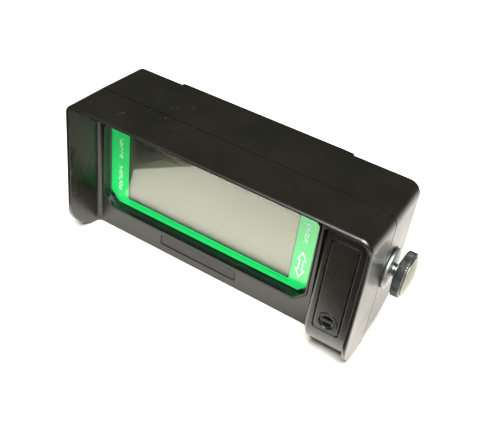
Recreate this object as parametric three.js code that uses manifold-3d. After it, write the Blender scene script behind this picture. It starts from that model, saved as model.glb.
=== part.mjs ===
// In-vehicle fare meter: a hooded display housing held between two thumb knobs.
// Millimetres. +Z is up and the window faces -Y.
// Everything is drawn in housing coordinates (x from the left side, y back from the
// hood's front rim, z up from the underside) and moved to the part's origin at the end.

import * as THREE from 'three';
import { mergeVertices } from 'three/addons/utils/BufferGeometryUtils.js';
import Module from 'manifold-3d';

const wasm = await Module();
wasm.setup();

// ---------------------------------------------------------------- driving sizes

// housing
const WIDTH = 200;
const HEIGHT = 97;
const HOOD_DEPTH = 25.2;
const FRONT_LIP = 6.4;
const REAR_DEPTH = 38.7;
const CORNER_R = 8;
const CORNER_LEFT_R = 4.8;
const FOOT_R = 4;
const WALL = 2.6;
const GAP = 0.3;
const SEAM_GAP = 0.5;
const SKIN_GAP = 0.05;

// hood, its left wing and its right pillar
const PANEL_T = 2.4;
const SKIRT_R = 26;
const HOOD_RIM_T = 1.4;
const HOOD_ROOT_T = 5.2;
const WING_RIM_T = 3.4;
const WING_ROOT_T = 5.4;
const WING_FILLET = 3;
const RIM_STEP = 3;
const RIM_T = 2.4;
const PILLAR_W = 27.8;
const PILLAR_T = 2.8;
const PILLAR_EDGE_R = 2.4;

// rear shell
const REAR_STEP = 2.9;
const REAR_RISE = 6.5;
const REAR_DRAFT = 1;
const REAR_CROWN = 0.1;
const REAR_EDGE = 2.4;
const LEDGE_T = 2.1;
const LEDGE_Z = 82;
const LEDGE_LEFT = [36, 46];
const LEDGE_RIGHT = [139, 156];
const TONGUE_T = 1.1;
const TONGUE_L = 3;
const TONGUE_CLEAR = 0.15;

// window: its distance from the left side, from the pillar, and from top and bottom
const WINDOW_LEFT = 9.5;
const WINDOW_TO_PILLAR = 11.2;
const WINDOW_MARGIN_Z = 16.2;
const WINDOW_RAISE = 0.2;
const WINDOW_CHAMFER = 7.2;
const BEZEL_T = 1.2;
const BEZEL_FLANGE = 2.6;
const BEZEL_FLANGE_T = 1.3;
const REVEAL_DEPTH = 7;
const GLASS_T = 1.8;
const LABEL_T = 0.25;

// display module: the printed border's width, then the stack behind it
const BORDER_LEFT = 14;
const BORDER_RIGHT = 15.2;
const BORDER_Z = 5;
const LCD_MARGIN = 3;
const LCD_FRAME_T = 0.5;
const LCD_CELL_T = 2.8;
const LIGHT_GUIDE_T = 3.4;
const STACK_GAP = 0.1;

// boards
const BOARD_T = 1.6;
const BOARD_SIDE_GAP = 2.8;
const BOARD_RIGHT_INSET = 5;
const BOARD_BOSS_R = 2.7;
const BOARD_BOSS_IN = 10;
const SPACER_L = 8.8;
const SPACER_R = 2.9;
const SPACER_IN = 4.5;
const MAIN_FLOOR_GAP = 4;
const MAIN_TOP_GAP = 14;

// fastenings
const SCREW_R = 1.2;
const SCREW_HEAD_R = 2.3;
const SCREW_HEAD_T = 1.5;
const CASE_SCREW_R = 1.5;
const CASE_HEAD_R = 2.7;
const CASE_HEAD_T = 2;
const CASE_HEAD_DEPTH = 9;
const CASE_BOSS_R = 3.2;
const CASE_BOSS_OUT = 4.4;
const HOLE_CLEAR = 0.3;
const PILOT_CLEAR = 0.15;

// name plate on the chin and rating plate on the back
const PLATE_W = 56.5;
const PLATE_H = 6.8;
const PLATE_Z = 6;
const PLATE_T = 0.75;
const PLATE_SINK = 0.4;
const RATING_W = 52;
const RATING_H = 25;
const RATING_IN = 24;
const RATING_T = 0.28;

// control panel on the pillar
const INSERT_W = 15.8;
const INSERT_Z0 = 25.4;
const INSERT_TOP_GAP = 9;
const INSERT_T = 1.1;
const CONTROL_UP = 7.7;
const CONTROL_RING_R = 6.3;
const CONTROL_KNOB_R = 4.6;
const CONTROL_KNOB_T = 2.6;
const CONTROL_CLEAR = 0.25;
const SHAFT_R = 1.5;
const SHAFT_L = 6;
const POT_SIZE = 9.6;
const POT_GAP = 2.2;
const POT_T = 6.15;
const PEG_UP = 11;
const PEG_SPREAD = 5;
const PEG_R = 1;

// side pivots, measured outwards from the housing's side
const PIVOT_BACK = 12.4;
const PIVOT_Z = 53;
const STUD_R = 4;
const STUD_IN = 9;
const STUD_CLEAR = 0.25;
const INSERT_WALL = 2;
const PIVOT_BOSS_T = 2;
const WASHER_R = 12.4;
const WASHER_T = 2;
const SEAT_MARGIN = 0.6;
const BRACKET_GAP = 2.8;
const THRUST_R = 7.5;
const THRUST_T = 1;
const THUMB_R = 13.8;
const THUMB_T = 5.8;
const THUMB_RIBS = 48;
const RIB_DEPTH = 0.7;
const CAP_T = 2.6;

// rear connector
const CONNECTOR_ALONG = 82;
const CONNECTOR_UP = 18;
const CONNECTOR_W = 24;
const CONNECTOR_H = 8.8;
const CONNECTOR_OUT = 5.4;
const CONNECTOR_SKIN = 0.5;
const CONNECTOR_FLANGE_T = 0.9;
const JACK_SPAN = 16.65;
const JACK_R = 2.7;

// components, placed from the main board's lower left corner
const PROCESSOR = { x: 26, z: 34, w: 28, h: 28, t: 3.4 };
const MEMORY = { x: 62, z: 40, w: 14, h: 20, t: 2.6 };
const HEAT_SINK = { x: 94, z: 36, w: 32, h: 22, t: 2, fin: 9.5, finT: 1.4, fins: 7 };
const HEADER = { x: 56, z: 4, w: 40, h: 5 };
const CAPACITOR_LARGE = { x: 114, z: 14, r: 6, t: 10.5 };
const CAPACITOR_SMALL = { x: 129, z: 18, r: 4, t: 9 };
const BUZZER = { x: 18, z: 14, r: 6.2, hole: 1, t: 7 };

// ---------------------------------------------------------------- derived sizes

const PANEL_Y = HOOD_DEPTH;
const PANEL_BACK = PANEL_Y + PANEL_T;
const FRONT_DEPTH = HOOD_DEPTH + FRONT_LIP;
const CASE_DEPTH = FRONT_DEPTH + REAR_DEPTH;
const TOTAL_DEPTH = CASE_DEPTH + CONNECTOR_OUT;
const FRONT_END = FRONT_DEPTH - SEAM_GAP / 2;
const REAR_START = FRONT_DEPTH + SEAM_GAP / 2;
const BACK_INNER = CASE_DEPTH - WALL;
const PILLAR_X = WIDTH - PILLAR_W;
const PILLAR_FACE = RIM_STEP;
const PILLAR_MID = PILLAR_X + (PILLAR_W - RIM_T) / 2;
const PILLAR_BACK = PILLAR_FACE + PILLAR_T;

const WINDOW_W = PILLAR_X - WINDOW_TO_PILLAR - WINDOW_LEFT;
const WINDOW_H = HEIGHT - 2 * WINDOW_MARGIN_Z;
const WINDOW_Z0 = WINDOW_MARGIN_Z + WINDOW_RAISE;
const WINDOW_MID_X = WINDOW_LEFT + WINDOW_W / 2;
const GLASS_Y = PANEL_Y + REVEAL_DEPTH;
const LABEL_Y = GLASS_Y + GLASS_T;

const LCD_LEFT = WINDOW_LEFT + BORDER_LEFT;
const LCD_RIGHT = WINDOW_LEFT + WINDOW_W - BORDER_RIGHT;
const LCD_Z0 = WINDOW_Z0 + BORDER_Z;
const LCD_Z1 = WINDOW_Z0 + WINDOW_H - BORDER_Z;
const FRAME_Y = LABEL_Y + LABEL_T + STACK_GAP;
const CELL_Y = FRAME_Y + LCD_FRAME_T + STACK_GAP;
const GUIDE_Y = CELL_Y + LCD_CELL_T + STACK_GAP;
const LCD_BOARD_Y = GUIDE_Y + LIGHT_GUIDE_T + GAP;
const LCD_BOARD_BACK = LCD_BOARD_Y + BOARD_T;
const MAIN_BOARD_Y = LCD_BOARD_BACK + SPACER_L;
const MAIN_BOARD_BACK = MAIN_BOARD_Y + BOARD_T;

const CASE_BOSS_X = [CORNER_R, WIDTH - CORNER_R];
const CASE_BOSS_Z = [
  REAR_STEP + REAR_RISE + REAR_EDGE + CASE_HEAD_R + 0.5,
  HEIGHT - CORNER_R - 1,
];
const CASE_BOSS_END = FRONT_DEPTH + CASE_BOSS_OUT;
const CASE_HEAD_Y = CASE_DEPTH - CASE_HEAD_DEPTH;
const BOARD_X0 = CASE_BOSS_X[0] + CASE_BOSS_R + BOARD_SIDE_GAP;
const BOARD_X1 = WINDOW_LEFT + WINDOW_W - BOARD_RIGHT_INSET;
const BOARD_BOSS_X = [BOARD_X0 + BOARD_BOSS_IN, BOARD_X1 - BOARD_BOSS_IN];
const BOARD_BOSS_Z = [
  WINDOW_Z0 - BEZEL_FLANGE - BOARD_BOSS_R - 0.5,
  WINDOW_Z0 + WINDOW_H + BEZEL_FLANGE + BOARD_BOSS_R + 0.5,
];
const BOARD_Z0 = BOARD_BOSS_Z[0] - BOARD_BOSS_R + GAP;
const BOARD_Z1 = BOARD_BOSS_Z[1] + BOARD_BOSS_R - GAP;
const MAIN_Z0 = REAR_STEP + REAR_RISE + WALL + MAIN_FLOOR_GAP;
const MAIN_Z1 = HEIGHT - MAIN_TOP_GAP;
const SPACER_X = [BOARD_X0 + SPACER_IN, BOARD_X1 - SPACER_IN];
const SPACER_Z = [MAIN_Z0 + SPACER_IN, MAIN_Z1 - SPACER_IN];
const CONNECTOR_X = BOARD_X0 + CONNECTOR_ALONG;
const CONNECTOR_Z = MAIN_Z0 + CONNECTOR_UP;

const INSERT_Z1 = HEIGHT - INSERT_TOP_GAP;
const CONTROL_Z = INSERT_Z0 + CONTROL_UP;
const POT_Y = PILLAR_BACK + POT_GAP;
const CONTROL_BOARD_Y = POT_Y + POT_T + SKIN_GAP;
const PEG_Z = CONTROL_Z + PEG_UP;

const PIVOT_Y = FRONT_DEPTH + PIVOT_BACK;
const PIVOT_INSERT_R = STUD_R + INSERT_WALL;
const PIVOT_BOSS_R = PIVOT_INSERT_R + PIVOT_BOSS_T;
const THRUST_X = WASHER_T + BRACKET_GAP;
const THUMB_X = THRUST_X + THRUST_T + STACK_GAP;

// ---------------------------------------------------------------- solid helpers

function toSolid(geometry) {
  const bare = new THREE.BufferGeometry();
  bare.setAttribute('position', geometry.getAttribute('position').clone());
  if (geometry.index) {
    bare.setIndex(geometry.index.clone());
  }
  const merged = mergeVertices(bare, 1e-4);
  const vertProperties = new Float32Array(merged.getAttribute('position').array);
  const triVerts = new Uint32Array(merged.index.array);
  return new wasm.Manifold(new wasm.Mesh({ numProp: 3, vertProperties, triVerts }));
}

function toGeometry(solid) {
  const data = solid.getMesh();
  const count = data.vertProperties.length / data.numProp;
  const position = new Float32Array(count * 3);
  for (let i = 0; i < count; i += 1) {
    for (let k = 0; k < 3; k += 1) {
      position[i * 3 + k] = data.vertProperties[i * data.numProp + k];
    }
  }
  const geometry = new THREE.BufferGeometry();
  geometry.setAttribute('position', new THREE.BufferAttribute(position, 3));
  geometry.setIndex(new THREE.BufferAttribute(new Uint32Array(data.triVerts), 1));
  const flat = geometry.toNonIndexed();
  flat.computeVertexNormals();
  return flat;
}

function basis(x, y, z, origin) {
  const matrix = new THREE.Matrix4().makeBasis(
    new THREE.Vector3(...x),
    new THREE.Vector3(...y),
    new THREE.Vector3(...z),
  );
  matrix.setPosition(...origin);
  return matrix;
}

function extrude(points, depth, matrix) {
  const shape = new THREE.Shape(points.map(([a, b]) => new THREE.Vector2(a, b)));
  const geometry = new THREE.ExtrudeGeometry(shape, { depth, bevelEnabled: false });
  geometry.applyMatrix4(matrix);
  return toSolid(geometry);
}

// Outline in (x, z), running from y0 to y1.
function prismY(points, y0, y1) {
  return extrude(points, y1 - y0, basis([1, 0, 0], [0, 0, 1], [0, -1, 0], [0, y1, 0]));
}

// Outline in (y, z), running from x0 to x1.
function prismX(points, x0, x1) {
  return extrude(points, x1 - x0, basis([0, 1, 0], [0, 0, 1], [1, 0, 0], [x0, 0, 0]));
}

// Outline in (x, y), running from z0 to z1.
function prismZ(points, z0, z1) {
  return extrude(points, z1 - z0, basis([1, 0, 0], [0, 1, 0], [0, 0, 1], [0, 0, z0]));
}

function block(x0, x1, y0, y1, z0, z1) {
  return prismZ([[x0, y0], [x1, y0], [x1, y1], [x0, y1]], z0, z1);
}

// Profile in (radius, height) turned about the axis through origin along direction.
function turned(profile, origin, direction, segments = 40) {
  const points = profile.map(([r, h]) => new THREE.Vector2(r, h));
  const geometry = new THREE.LatheGeometry(points, segments);
  const turn = new THREE.Quaternion().setFromUnitVectors(
    new THREE.Vector3(0, 1, 0),
    new THREE.Vector3(...direction),
  );
  geometry.applyQuaternion(turn);
  geometry.translate(...origin);
  const solid = toSolid(geometry);
  return solid.volume() < 0 ? flipped(geometry) : solid;
}

function flipped(geometry) {
  const index = geometry.index.array;
  for (let i = 0; i < index.length; i += 3) {
    [index[i + 1], index[i + 2]] = [index[i + 2], index[i + 1]];
  }
  return toSolid(geometry);
}

function rod(radius, origin, direction, length, segments = 24) {
  return turned([[0, 0], [radius, 0], [radius, length], [0, length]], origin, direction, segments);
}

function tube(outer, inner, origin, direction, length, segments = 32) {
  const profile = [[inner, 0], [outer, 0], [outer, length], [inner, length], [inner, 0]];
  return turned(profile, origin, direction, segments);
}

function roundRect(x0, x1, z0, z1, radius, steps = 6, foot = radius, left = radius) {
  const points = [];
  const corners = [
    [x1 - radius, z1 - radius, 0, radius],
    [x0 + left, z1 - left, 90, left],
    [x0 + foot, z0 + foot, 180, foot],
    [x1 - foot, z0 + foot, 270, foot],
  ];
  for (const [cx, cz, start, r] of corners) {
    for (let i = 0; i <= steps; i += 1) {
      const angle = ((start + (90 * i) / steps) * Math.PI) / 180;
      points.push([cx + r * Math.cos(angle), cz + r * Math.sin(angle)]);
    }
  }
  return points;
}

function octagon(x0, x1, z0, z1, chamfer) {
  return [
    [x0 + chamfer, z0],
    [x1 - chamfer, z0],
    [x1, z0 + chamfer],
    [x1, z1 - chamfer],
    [x1 - chamfer, z1],
    [x0 + chamfer, z1],
    [x0, z1 - chamfer],
    [x0, z0 + chamfer],
  ];
}

// Skin through outlines of equal length in (x, z), one at each y, closed at both ends.
function loftY(sections) {
  const count = sections[0].points.length;
  const position = [];
  const index = [];
  for (const { y, points } of sections) {
    for (const [x, z] of points) {
      position.push(x, y, z);
    }
  }
  for (let s = 0; s + 1 < sections.length; s += 1) {
    for (let i = 0; i < count; i += 1) {
      const a = s * count + i;
      const b = s * count + ((i + 1) % count);
      index.push(a, b, b + count, a, b + count, a + count);
    }
  }
  const last = (sections.length - 1) * count;
  for (let i = 1; i + 1 < count; i += 1) {
    index.push(0, i + 1, i);
    index.push(last, last + i, last + i + 1);
  }
  for (let i = 0; i < index.length; i += 3) {
    [index[i + 1], index[i + 2]] = [index[i + 2], index[i + 1]];
  }
  const geometry = new THREE.BufferGeometry();
  geometry.setAttribute('position', new THREE.Float32BufferAttribute(position, 3));
  geometry.setIndex(index);
  const solid = toSolid(geometry);
  return solid.volume() < 0 ? flipped(geometry) : solid;
}

const group = new THREE.Group();
group.name = 'fare_meter';

const ORIGIN_SHIFT = [-WIDTH / 2, -TOTAL_DEPTH / 2, 0];

function add(name, solid, [color, roughness, metalness]) {
  const material = new THREE.MeshStandardMaterial({ color, roughness, metalness });
  const mesh = new THREE.Mesh(toGeometry(solid.translate(ORIGIN_SHIFT)), material);
  mesh.name = name;
  group.add(mesh);
}

const BLACK_ABS = [0x23241f, 0.55, 0];
const GLOSS_BLACK = [0x14181a, 0.25, 0];
const KNOB_BLACK = [0x1d1e1c, 0.5, 0];
const STEEL = [0xb9bcbc, 0.3, 1];
const BRIGHT = [0xcfd2d2, 0.18, 1];
const BRASS = [0xb5924c, 0.35, 1];
const BOARD_GREEN = [0x1f5a36, 0.6, 0];
const CHIP_BLACK = [0x1b1b1d, 0.6, 0];
const RUBBER = [0x202020, 0.9, 0];

// ---------------------------------------------------------------- front shell

// Side view of the front shell, set in by a distance from its outer skin.
function skirtProfile(inset) {
  const points = [
    [inset, HEIGHT + 1],
    [CASE_DEPTH, HEIGHT + 1],
    [CASE_DEPTH, inset],
  ];
  const steps = 10;
  for (let i = 0; i <= steps; i += 1) {
    const angle = Math.PI * (1.5 - (0.5 * i) / steps);
    const radius = SKIRT_R - inset;
    points.push([SKIRT_R + radius * Math.cos(angle), SKIRT_R + radius * Math.sin(angle)]);
  }
  return points.reverse();
}

function caseOutline(inset) {
  const corners = [CORNER_R - inset, 6, FOOT_R - inset, CORNER_LEFT_R - inset];
  return roundRect(inset, WIDTH - inset, inset, HEIGHT - inset, ...corners);
}

const frontBlock = loftY([
  { y: 0, points: caseOutline(1) },
  { y: 0.3, points: caseOutline(0.3) },
  { y: 1, points: caseOutline(0) },
  { y: FRONT_END, points: caseOutline(0) },
]).intersect(prismX(skirtProfile(0), -1, WIDTH + 1));

const hoodPlan = prismZ([
  [WING_RIM_T, -1],
  [PILLAR_X, -1],
  [PILLAR_X, PANEL_Y],
  [WING_ROOT_T + WING_FILLET, PANEL_Y],
  [WING_ROOT_T + WING_FILLET * 0.3, PANEL_Y - WING_FILLET * 0.3],
  [WING_ROOT_T, PANEL_Y - WING_FILLET],
  [WING_RIM_T, 0],
], -1, HEIGHT);

const hoodSide = prismX([
  [-1, -1],
  [PANEL_Y, -1],
  [PANEL_Y, HEIGHT - HOOD_ROOT_T],
  [0, HEIGHT - HOOD_RIM_T],
  [-1, HEIGHT - HOOD_RIM_T],
], 0, WIDTH);

const pillarColumn = prismY(
  roundRect(PILLAR_X - 1, WIDTH - RIM_T, -20, HEIGHT - RIM_T, CORNER_R - RIM_T),
  -1,
  PANEL_Y,
);
const pillarRecess = pillarColumn.subtract(prismX(skirtProfile(PILLAR_FACE), 0, WIDTH));
const pillarEdge = prismZ([
  [PILLAR_X - 1, -1],
  [PILLAR_X + PILLAR_EDGE_R, -1],
  [PILLAR_X + PILLAR_EDGE_R, PILLAR_FACE],
  [PILLAR_X + PILLAR_EDGE_R * 0.3, PILLAR_FACE + PILLAR_EDGE_R * 0.3],
  [PILLAR_X, PILLAR_FACE + PILLAR_EDGE_R],
  [PILLAR_X - 1, PILLAR_FACE + PILLAR_EDGE_R],
], -1, HEIGHT - HOOD_RIM_T);

const frontCavity = prismY(
  roundRect(
    WALL,
    WIDTH - WALL,
    WALL,
    HEIGHT - HOOD_ROOT_T + 1,
    CORNER_R - WALL,
    6,
    FOOT_R - WALL,
    CORNER_LEFT_R - WALL,
  ),
  PANEL_BACK,
  FRONT_DEPTH + 1,
);
const pillarCavity = prismY(
  roundRect(PILLAR_X + WALL, WIDTH - WALL - 0.6, -20, HEIGHT - HOOD_ROOT_T + 1, 4),
  0,
  FRONT_DEPTH + 1,
).intersect(prismX(skirtProfile(PILLAR_BACK), 0, WIDTH));

function windowOutline(grow) {
  return octagon(
    WINDOW_LEFT - grow,
    WINDOW_LEFT + WINDOW_W + grow,
    WINDOW_Z0 - grow,
    WINDOW_Z0 + WINDOW_H + grow,
    WINDOW_CHAMFER + grow * 0.4,
  );
}

// The tongue groove thins the wall's inside near the seam.
const frontRebate = prismY(
  roundRect(
    WALL - TONGUE_T,
    WIDTH - WALL + TONGUE_T,
    WALL - TONGUE_T,
    HEIGHT - WALL + TONGUE_T,
    CORNER_R - WALL + TONGUE_T,
    6,
    FOOT_R - WALL + TONGUE_T,
    CORNER_LEFT_R - WALL + TONGUE_T,
  ),
  FRONT_END - TONGUE_L - GAP,
  FRONT_DEPTH + 1,
);

const insertPocket = prismY(
  roundRect(
    PILLAR_MID - INSERT_W / 2 - GAP,
    PILLAR_MID + INSERT_W / 2 + GAP,
    INSERT_Z0 - GAP,
    INSERT_Z1 + GAP,
    2.4,
    3,
  ),
  PILLAR_FACE - 2,
  PILLAR_FACE + INSERT_T + 0.1,
);
const platePocket = prismY(
  roundRect(
    WINDOW_MID_X - PLATE_W / 2 - 0.2,
    WINDOW_MID_X + PLATE_W / 2 + 0.2,
    PLATE_Z - 0.2,
    PLATE_Z + PLATE_H + 0.2,
    0.8,
    2,
  ),
  PANEL_Y - 2,
  PANEL_Y + PLATE_SINK + PLATE_T + SKIN_GAP,
);

let frontShell = frontBlock
  .subtract(hoodPlan.intersect(hoodSide))
  .subtract(pillarRecess)
  .subtract(pillarEdge)
  .subtract(frontCavity)
  .subtract(pillarCavity)
  .subtract(frontRebate);

const boardBossSpots = BOARD_BOSS_X.flatMap((x) => BOARD_BOSS_Z.map((z) => [x, z]));
for (const [x, z] of boardBossSpots) {
  const root = PANEL_BACK - 0.4;
  frontShell = frontShell.add(rod(BOARD_BOSS_R, [x, root, z], [0, 1, 0], LCD_BOARD_Y - STACK_GAP - root, 20));
}
const caseBossSpots = CASE_BOSS_X.flatMap((x) => CASE_BOSS_Z.map((z) => [x, z]));
for (const [x, z] of caseBossSpots) {
  const root = x > PILLAR_X ? PILLAR_FACE + 1 : PANEL_Y + 1;
  const boss = rod(CASE_BOSS_R, [x, root, z], [0, 1, 0], CASE_BOSS_END - root, 20)
    .intersect(prismX(skirtProfile(PILLAR_FACE + 1), 0, WIDTH));
  frontShell = frontShell.add(boss);
}

frontShell = frontShell
  .subtract(prismY(windowOutline(BEZEL_T + 0.15), PANEL_Y - 1, PANEL_BACK + 1))
  .subtract(insertPocket)
  .subtract(platePocket)
  .subtract(rod(CONTROL_KNOB_R + 0.6, [PILLAR_MID, 0, CONTROL_Z], [0, 1, 0], PILLAR_BACK + 0.6, 28));
for (const [x, z] of boardBossSpots) {
  frontShell = frontShell.subtract(rod(SCREW_R + PILOT_CLEAR, [x, LCD_BOARD_Y - 9, z], [0, 1, 0], 12, 16));
}
for (const [x, z] of caseBossSpots) {
  const pilot = rod(CASE_SCREW_R + PILOT_CLEAR, [x, CASE_BOSS_END - 8, z], [0, 1, 0], 10, 16);
  frontShell = frontShell.subtract(pilot);
}

// Two pegs inside the pillar carry the control's small board.
const pegSpots = [PILLAR_MID - PEG_SPREAD, PILLAR_MID + PEG_SPREAD];
for (const x of pegSpots) {
  const root = PILLAR_BACK - 0.6;
  frontShell = frontShell
    .add(rod(PEG_R + 0.8, [x, root, PEG_Z], [0, 1, 0], CONTROL_BOARD_Y - STACK_GAP - root, 16))
    .add(rod(PEG_R, [x, root, PEG_Z], [0, 1, 0], CONTROL_BOARD_Y + BOARD_T + 0.8 - root, 12));
}
add('front_shell', frontShell, BLACK_ABS);

// ---------------------------------------------------------------- rear shell

// Outline of the rear shell at a distance back, set in from its skin.
function rearOutline(y, inset) {
  const t = (y - REAR_START) / (CASE_DEPTH - REAR_START);
  const side = REAR_DRAFT * t + inset;
  return roundRect(
    side,
    WIDTH - side,
    REAR_STEP + REAR_RISE * t + inset,
    HEIGHT - REAR_CROWN * t - inset,
    CORNER_R - inset,
    6,
    Math.max(FOOT_R - inset, 1.4),
    CORNER_LEFT_R - inset,
  );
}

let rearShell = loftY([
  { y: REAR_START, points: rearOutline(REAR_START, 0) },
  { y: CASE_DEPTH - REAR_EDGE, points: rearOutline(CASE_DEPTH - REAR_EDGE, 0) },
  { y: CASE_DEPTH - REAR_EDGE * 0.3, points: rearOutline(CASE_DEPTH, REAR_EDGE * 0.3) },
  { y: CASE_DEPTH, points: rearOutline(CASE_DEPTH, REAR_EDGE) },
]);

// A shallow ledge runs along the top of the back. Its ends slope into the back.
const ledgeRoot = CASE_DEPTH - WALL + 0.5;
const ledgeBack = CASE_DEPTH + LEDGE_T;
const ledgeTop = HEIGHT - REAR_CROWN;
const ledge = prismZ([
  [LEDGE_LEFT[0], ledgeRoot],
  [LEDGE_RIGHT[1], ledgeRoot],
  [LEDGE_RIGHT[1], CASE_DEPTH],
  [LEDGE_RIGHT[0], ledgeBack],
  [LEDGE_LEFT[1], ledgeBack],
  [LEDGE_LEFT[0], CASE_DEPTH],
], LEDGE_Z, HEIGHT).intersect(prismX([
  [ledgeRoot, LEDGE_Z],
  [CASE_DEPTH, LEDGE_Z],
  [ledgeBack, LEDGE_Z + LEDGE_T],
  [ledgeBack, ledgeTop - REAR_EDGE],
  [ledgeBack - REAR_EDGE * 0.3, ledgeTop - REAR_EDGE * 0.3],
  [ledgeBack - REAR_EDGE, ledgeTop],
  [ledgeRoot, ledgeTop],
], 0, WIDTH));
rearShell = rearShell.add(ledge);

const PIVOT_SIDES = [-1, 1];
const pivotX = (side) => (side < 0 ? 0 : WIDTH);
for (const side of PIVOT_SIDES) {
  const seat = rod(WASHER_R + SEAT_MARGIN, [pivotX(side), PIVOT_Y, PIVOT_Z], [-side, 0, 0], WALL, 40);
  rearShell = rearShell.add(seat.subtract(block(-1, WIDTH + 1, 0, REAR_START, 0, HEIGHT)));
}
rearShell = rearShell.subtract(loftY([
  { y: REAR_START - 1, points: rearOutline(REAR_START - 1, WALL) },
  { y: BACK_INNER, points: rearOutline(BACK_INNER, WALL) },
]));

// The tongue runs forward inside the front shell's rebate.
const tongueIn = WALL - TONGUE_T + TONGUE_CLEAR;
const tongueOuter = roundRect(
  tongueIn,
  WIDTH - tongueIn,
  REAR_STEP + 0.9,
  HEIGHT - tongueIn,
  CORNER_R - tongueIn,
  6,
  FOOT_R - tongueIn,
  CORNER_LEFT_R - tongueIn,
);
const tongueInner = rearOutline(REAR_START, WALL);
const tongue = prismY(tongueOuter, FRONT_END - TONGUE_L, REAR_START + 1.5)
  .subtract(prismY(tongueInner, FRONT_END - TONGUE_L - 1, REAR_START + 3));
rearShell = rearShell.add(tongue);

for (const side of PIVOT_SIDES) {
  const root = [pivotX(side) - side, PIVOT_Y, PIVOT_Z];
  rearShell = rearShell.add(rod(PIVOT_BOSS_R, root, [-side, 0, 0], STUD_IN + 0.5, 32));
}
for (const [x, z] of caseBossSpots) {
  const start = CASE_BOSS_END + GAP;
  const column = rod(CASE_BOSS_R + 1, [x, start, z], [0, 1, 0], BACK_INNER - start + 0.6, 20);
  rearShell = rearShell.add(column.intersect(loftY([
    { y: REAR_START, points: rearOutline(REAR_START, 0.5) },
    { y: CASE_DEPTH, points: rearOutline(CASE_DEPTH, 0.5) },
  ])));
}
for (const side of PIVOT_SIDES) {
  const x = pivotX(side);
  const mouth = [x + side, PIVOT_Y, PIVOT_Z];
  rearShell = rearShell
    .subtract(rod(PIVOT_INSERT_R + 0.1, mouth, [-side, 0, 0], STUD_IN + 1.1, 32))
    .subtract(rod(PIVOT_INSERT_R - 1, mouth, [-side, 0, 0], STUD_IN + 4, 32));
}
for (const [x, z] of caseBossSpots) {
  rearShell = rearShell
    .subtract(rod(CASE_SCREW_R + HOLE_CLEAR, [x, FRONT_DEPTH, z], [0, 1, 0], CASE_DEPTH, 16))
    .subtract(rod(CASE_HEAD_R + 0.2, [x, CASE_HEAD_Y, z], [0, 1, 0], CASE_HEAD_DEPTH + 1, 20));
}

const connectorHole = roundRect(
  CONNECTOR_X - CONNECTOR_W / 2 - 1.2,
  CONNECTOR_X + CONNECTOR_W / 2 + 1.2,
  CONNECTOR_Z - CONNECTOR_H / 2 - 1,
  CONNECTOR_Z + CONNECTOR_H / 2 + 1,
  2,
  3,
);
rearShell = rearShell.subtract(prismY(connectorHole, BACK_INNER - 1, CASE_DEPTH + 1));
for (const side of PIVOT_SIDES) {
  const x = CONNECTOR_X + side * JACK_SPAN;
  const hole = rod(CASE_SCREW_R + HOLE_CLEAR, [x, BACK_INNER - 1, CONNECTOR_Z], [0, 1, 0], WALL + 2, 16);
  rearShell = rearShell.subtract(hole);
}
add('rear_shell', rearShell, BLACK_ABS);

// ---------------------------------------------------------------- window

const FLANGE_Y = PANEL_BACK + STACK_GAP;
const FLANGE_BACK = FLANGE_Y + BEZEL_FLANGE_T;
const bezelTube = prismY(windowOutline(BEZEL_T), PANEL_Y - 0.3, GLASS_Y - STACK_GAP);
const bezelFlange = prismY(windowOutline(BEZEL_FLANGE), FLANGE_Y, FLANGE_BACK);
const bezel = bezelTube.add(bezelFlange).subtract(prismY(windowOutline(0), 0, CASE_DEPTH));
add('window_bezel', bezel, GLOSS_BLACK);

const gasket = prismY(windowOutline(BEZEL_FLANGE), FLANGE_BACK + SKIN_GAP, GLASS_Y - SKIN_GAP)
  .subtract(prismY(windowOutline(BEZEL_T + STACK_GAP), 0, CASE_DEPTH));
add('window_gasket', gasket, RUBBER);

add('window_glass', prismY(windowOutline(BEZEL_FLANGE), GLASS_Y, LABEL_Y), [0xaab0a6, 0.06, 0]);

const lcdOpening = (grow) => roundRect(
  LCD_LEFT - grow,
  LCD_RIGHT + grow,
  LCD_Z0 - grow,
  LCD_Z1 + grow,
  0.8,
  2,
);
const legend = prismY(windowOutline(BEZEL_FLANGE - 0.4), LABEL_Y + SKIN_GAP, LABEL_Y + LABEL_T)
  .subtract(prismY(lcdOpening(0), 0, CASE_DEPTH));
add('legend_overlay', legend, [0x22d968, 0.5, 0]);

// ---------------------------------------------------------------- display module

const cellX0 = LCD_LEFT - LCD_MARGIN;
const cellX1 = LCD_RIGHT + LCD_MARGIN;
const cellZ0 = LCD_Z0 - LCD_MARGIN;
const cellZ1 = LCD_Z1 + LCD_MARGIN;
function cellBlock(grow, y0, y1) {
  return block(cellX0 - grow, cellX1 + grow, y0, y1, cellZ0 - grow, cellZ1 + grow);
}
const lcdFrame = cellBlock(LCD_FRAME_T + 0.2, FRAME_Y, LCD_BOARD_Y - STACK_GAP)
  .subtract(cellBlock(0.2, FRAME_Y + LCD_FRAME_T, LCD_BOARD_Y))
  .subtract(prismY(lcdOpening(0.4), 0, CASE_DEPTH));
add('lcd_frame', lcdFrame, [0x2a2c2c, 0.4, 1]);
add('lcd_cell', cellBlock(0, CELL_Y, CELL_Y + LCD_CELL_T), [0xa9a994, 0.12, 0]);
add('light_guide', cellBlock(0, GUIDE_Y, GUIDE_Y + LIGHT_GUIDE_T), [0xe4ead8, 0.3, 0]);

let lcdBoard = block(BOARD_X0, BOARD_X1, LCD_BOARD_Y, LCD_BOARD_BACK, BOARD_Z0, BOARD_Z1);
const spacerSpots = SPACER_X.flatMap((x) => SPACER_Z.map((z) => [x, z]));
for (const [x, z] of [...boardBossSpots, ...spacerSpots]) {
  lcdBoard = lcdBoard.subtract(rod(SCREW_R + HOLE_CLEAR, [x, LCD_BOARD_Y - 1, z], [0, 1, 0], 5, 16));
}
add('lcd_board', lcdBoard, BOARD_GREEN);

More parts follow.
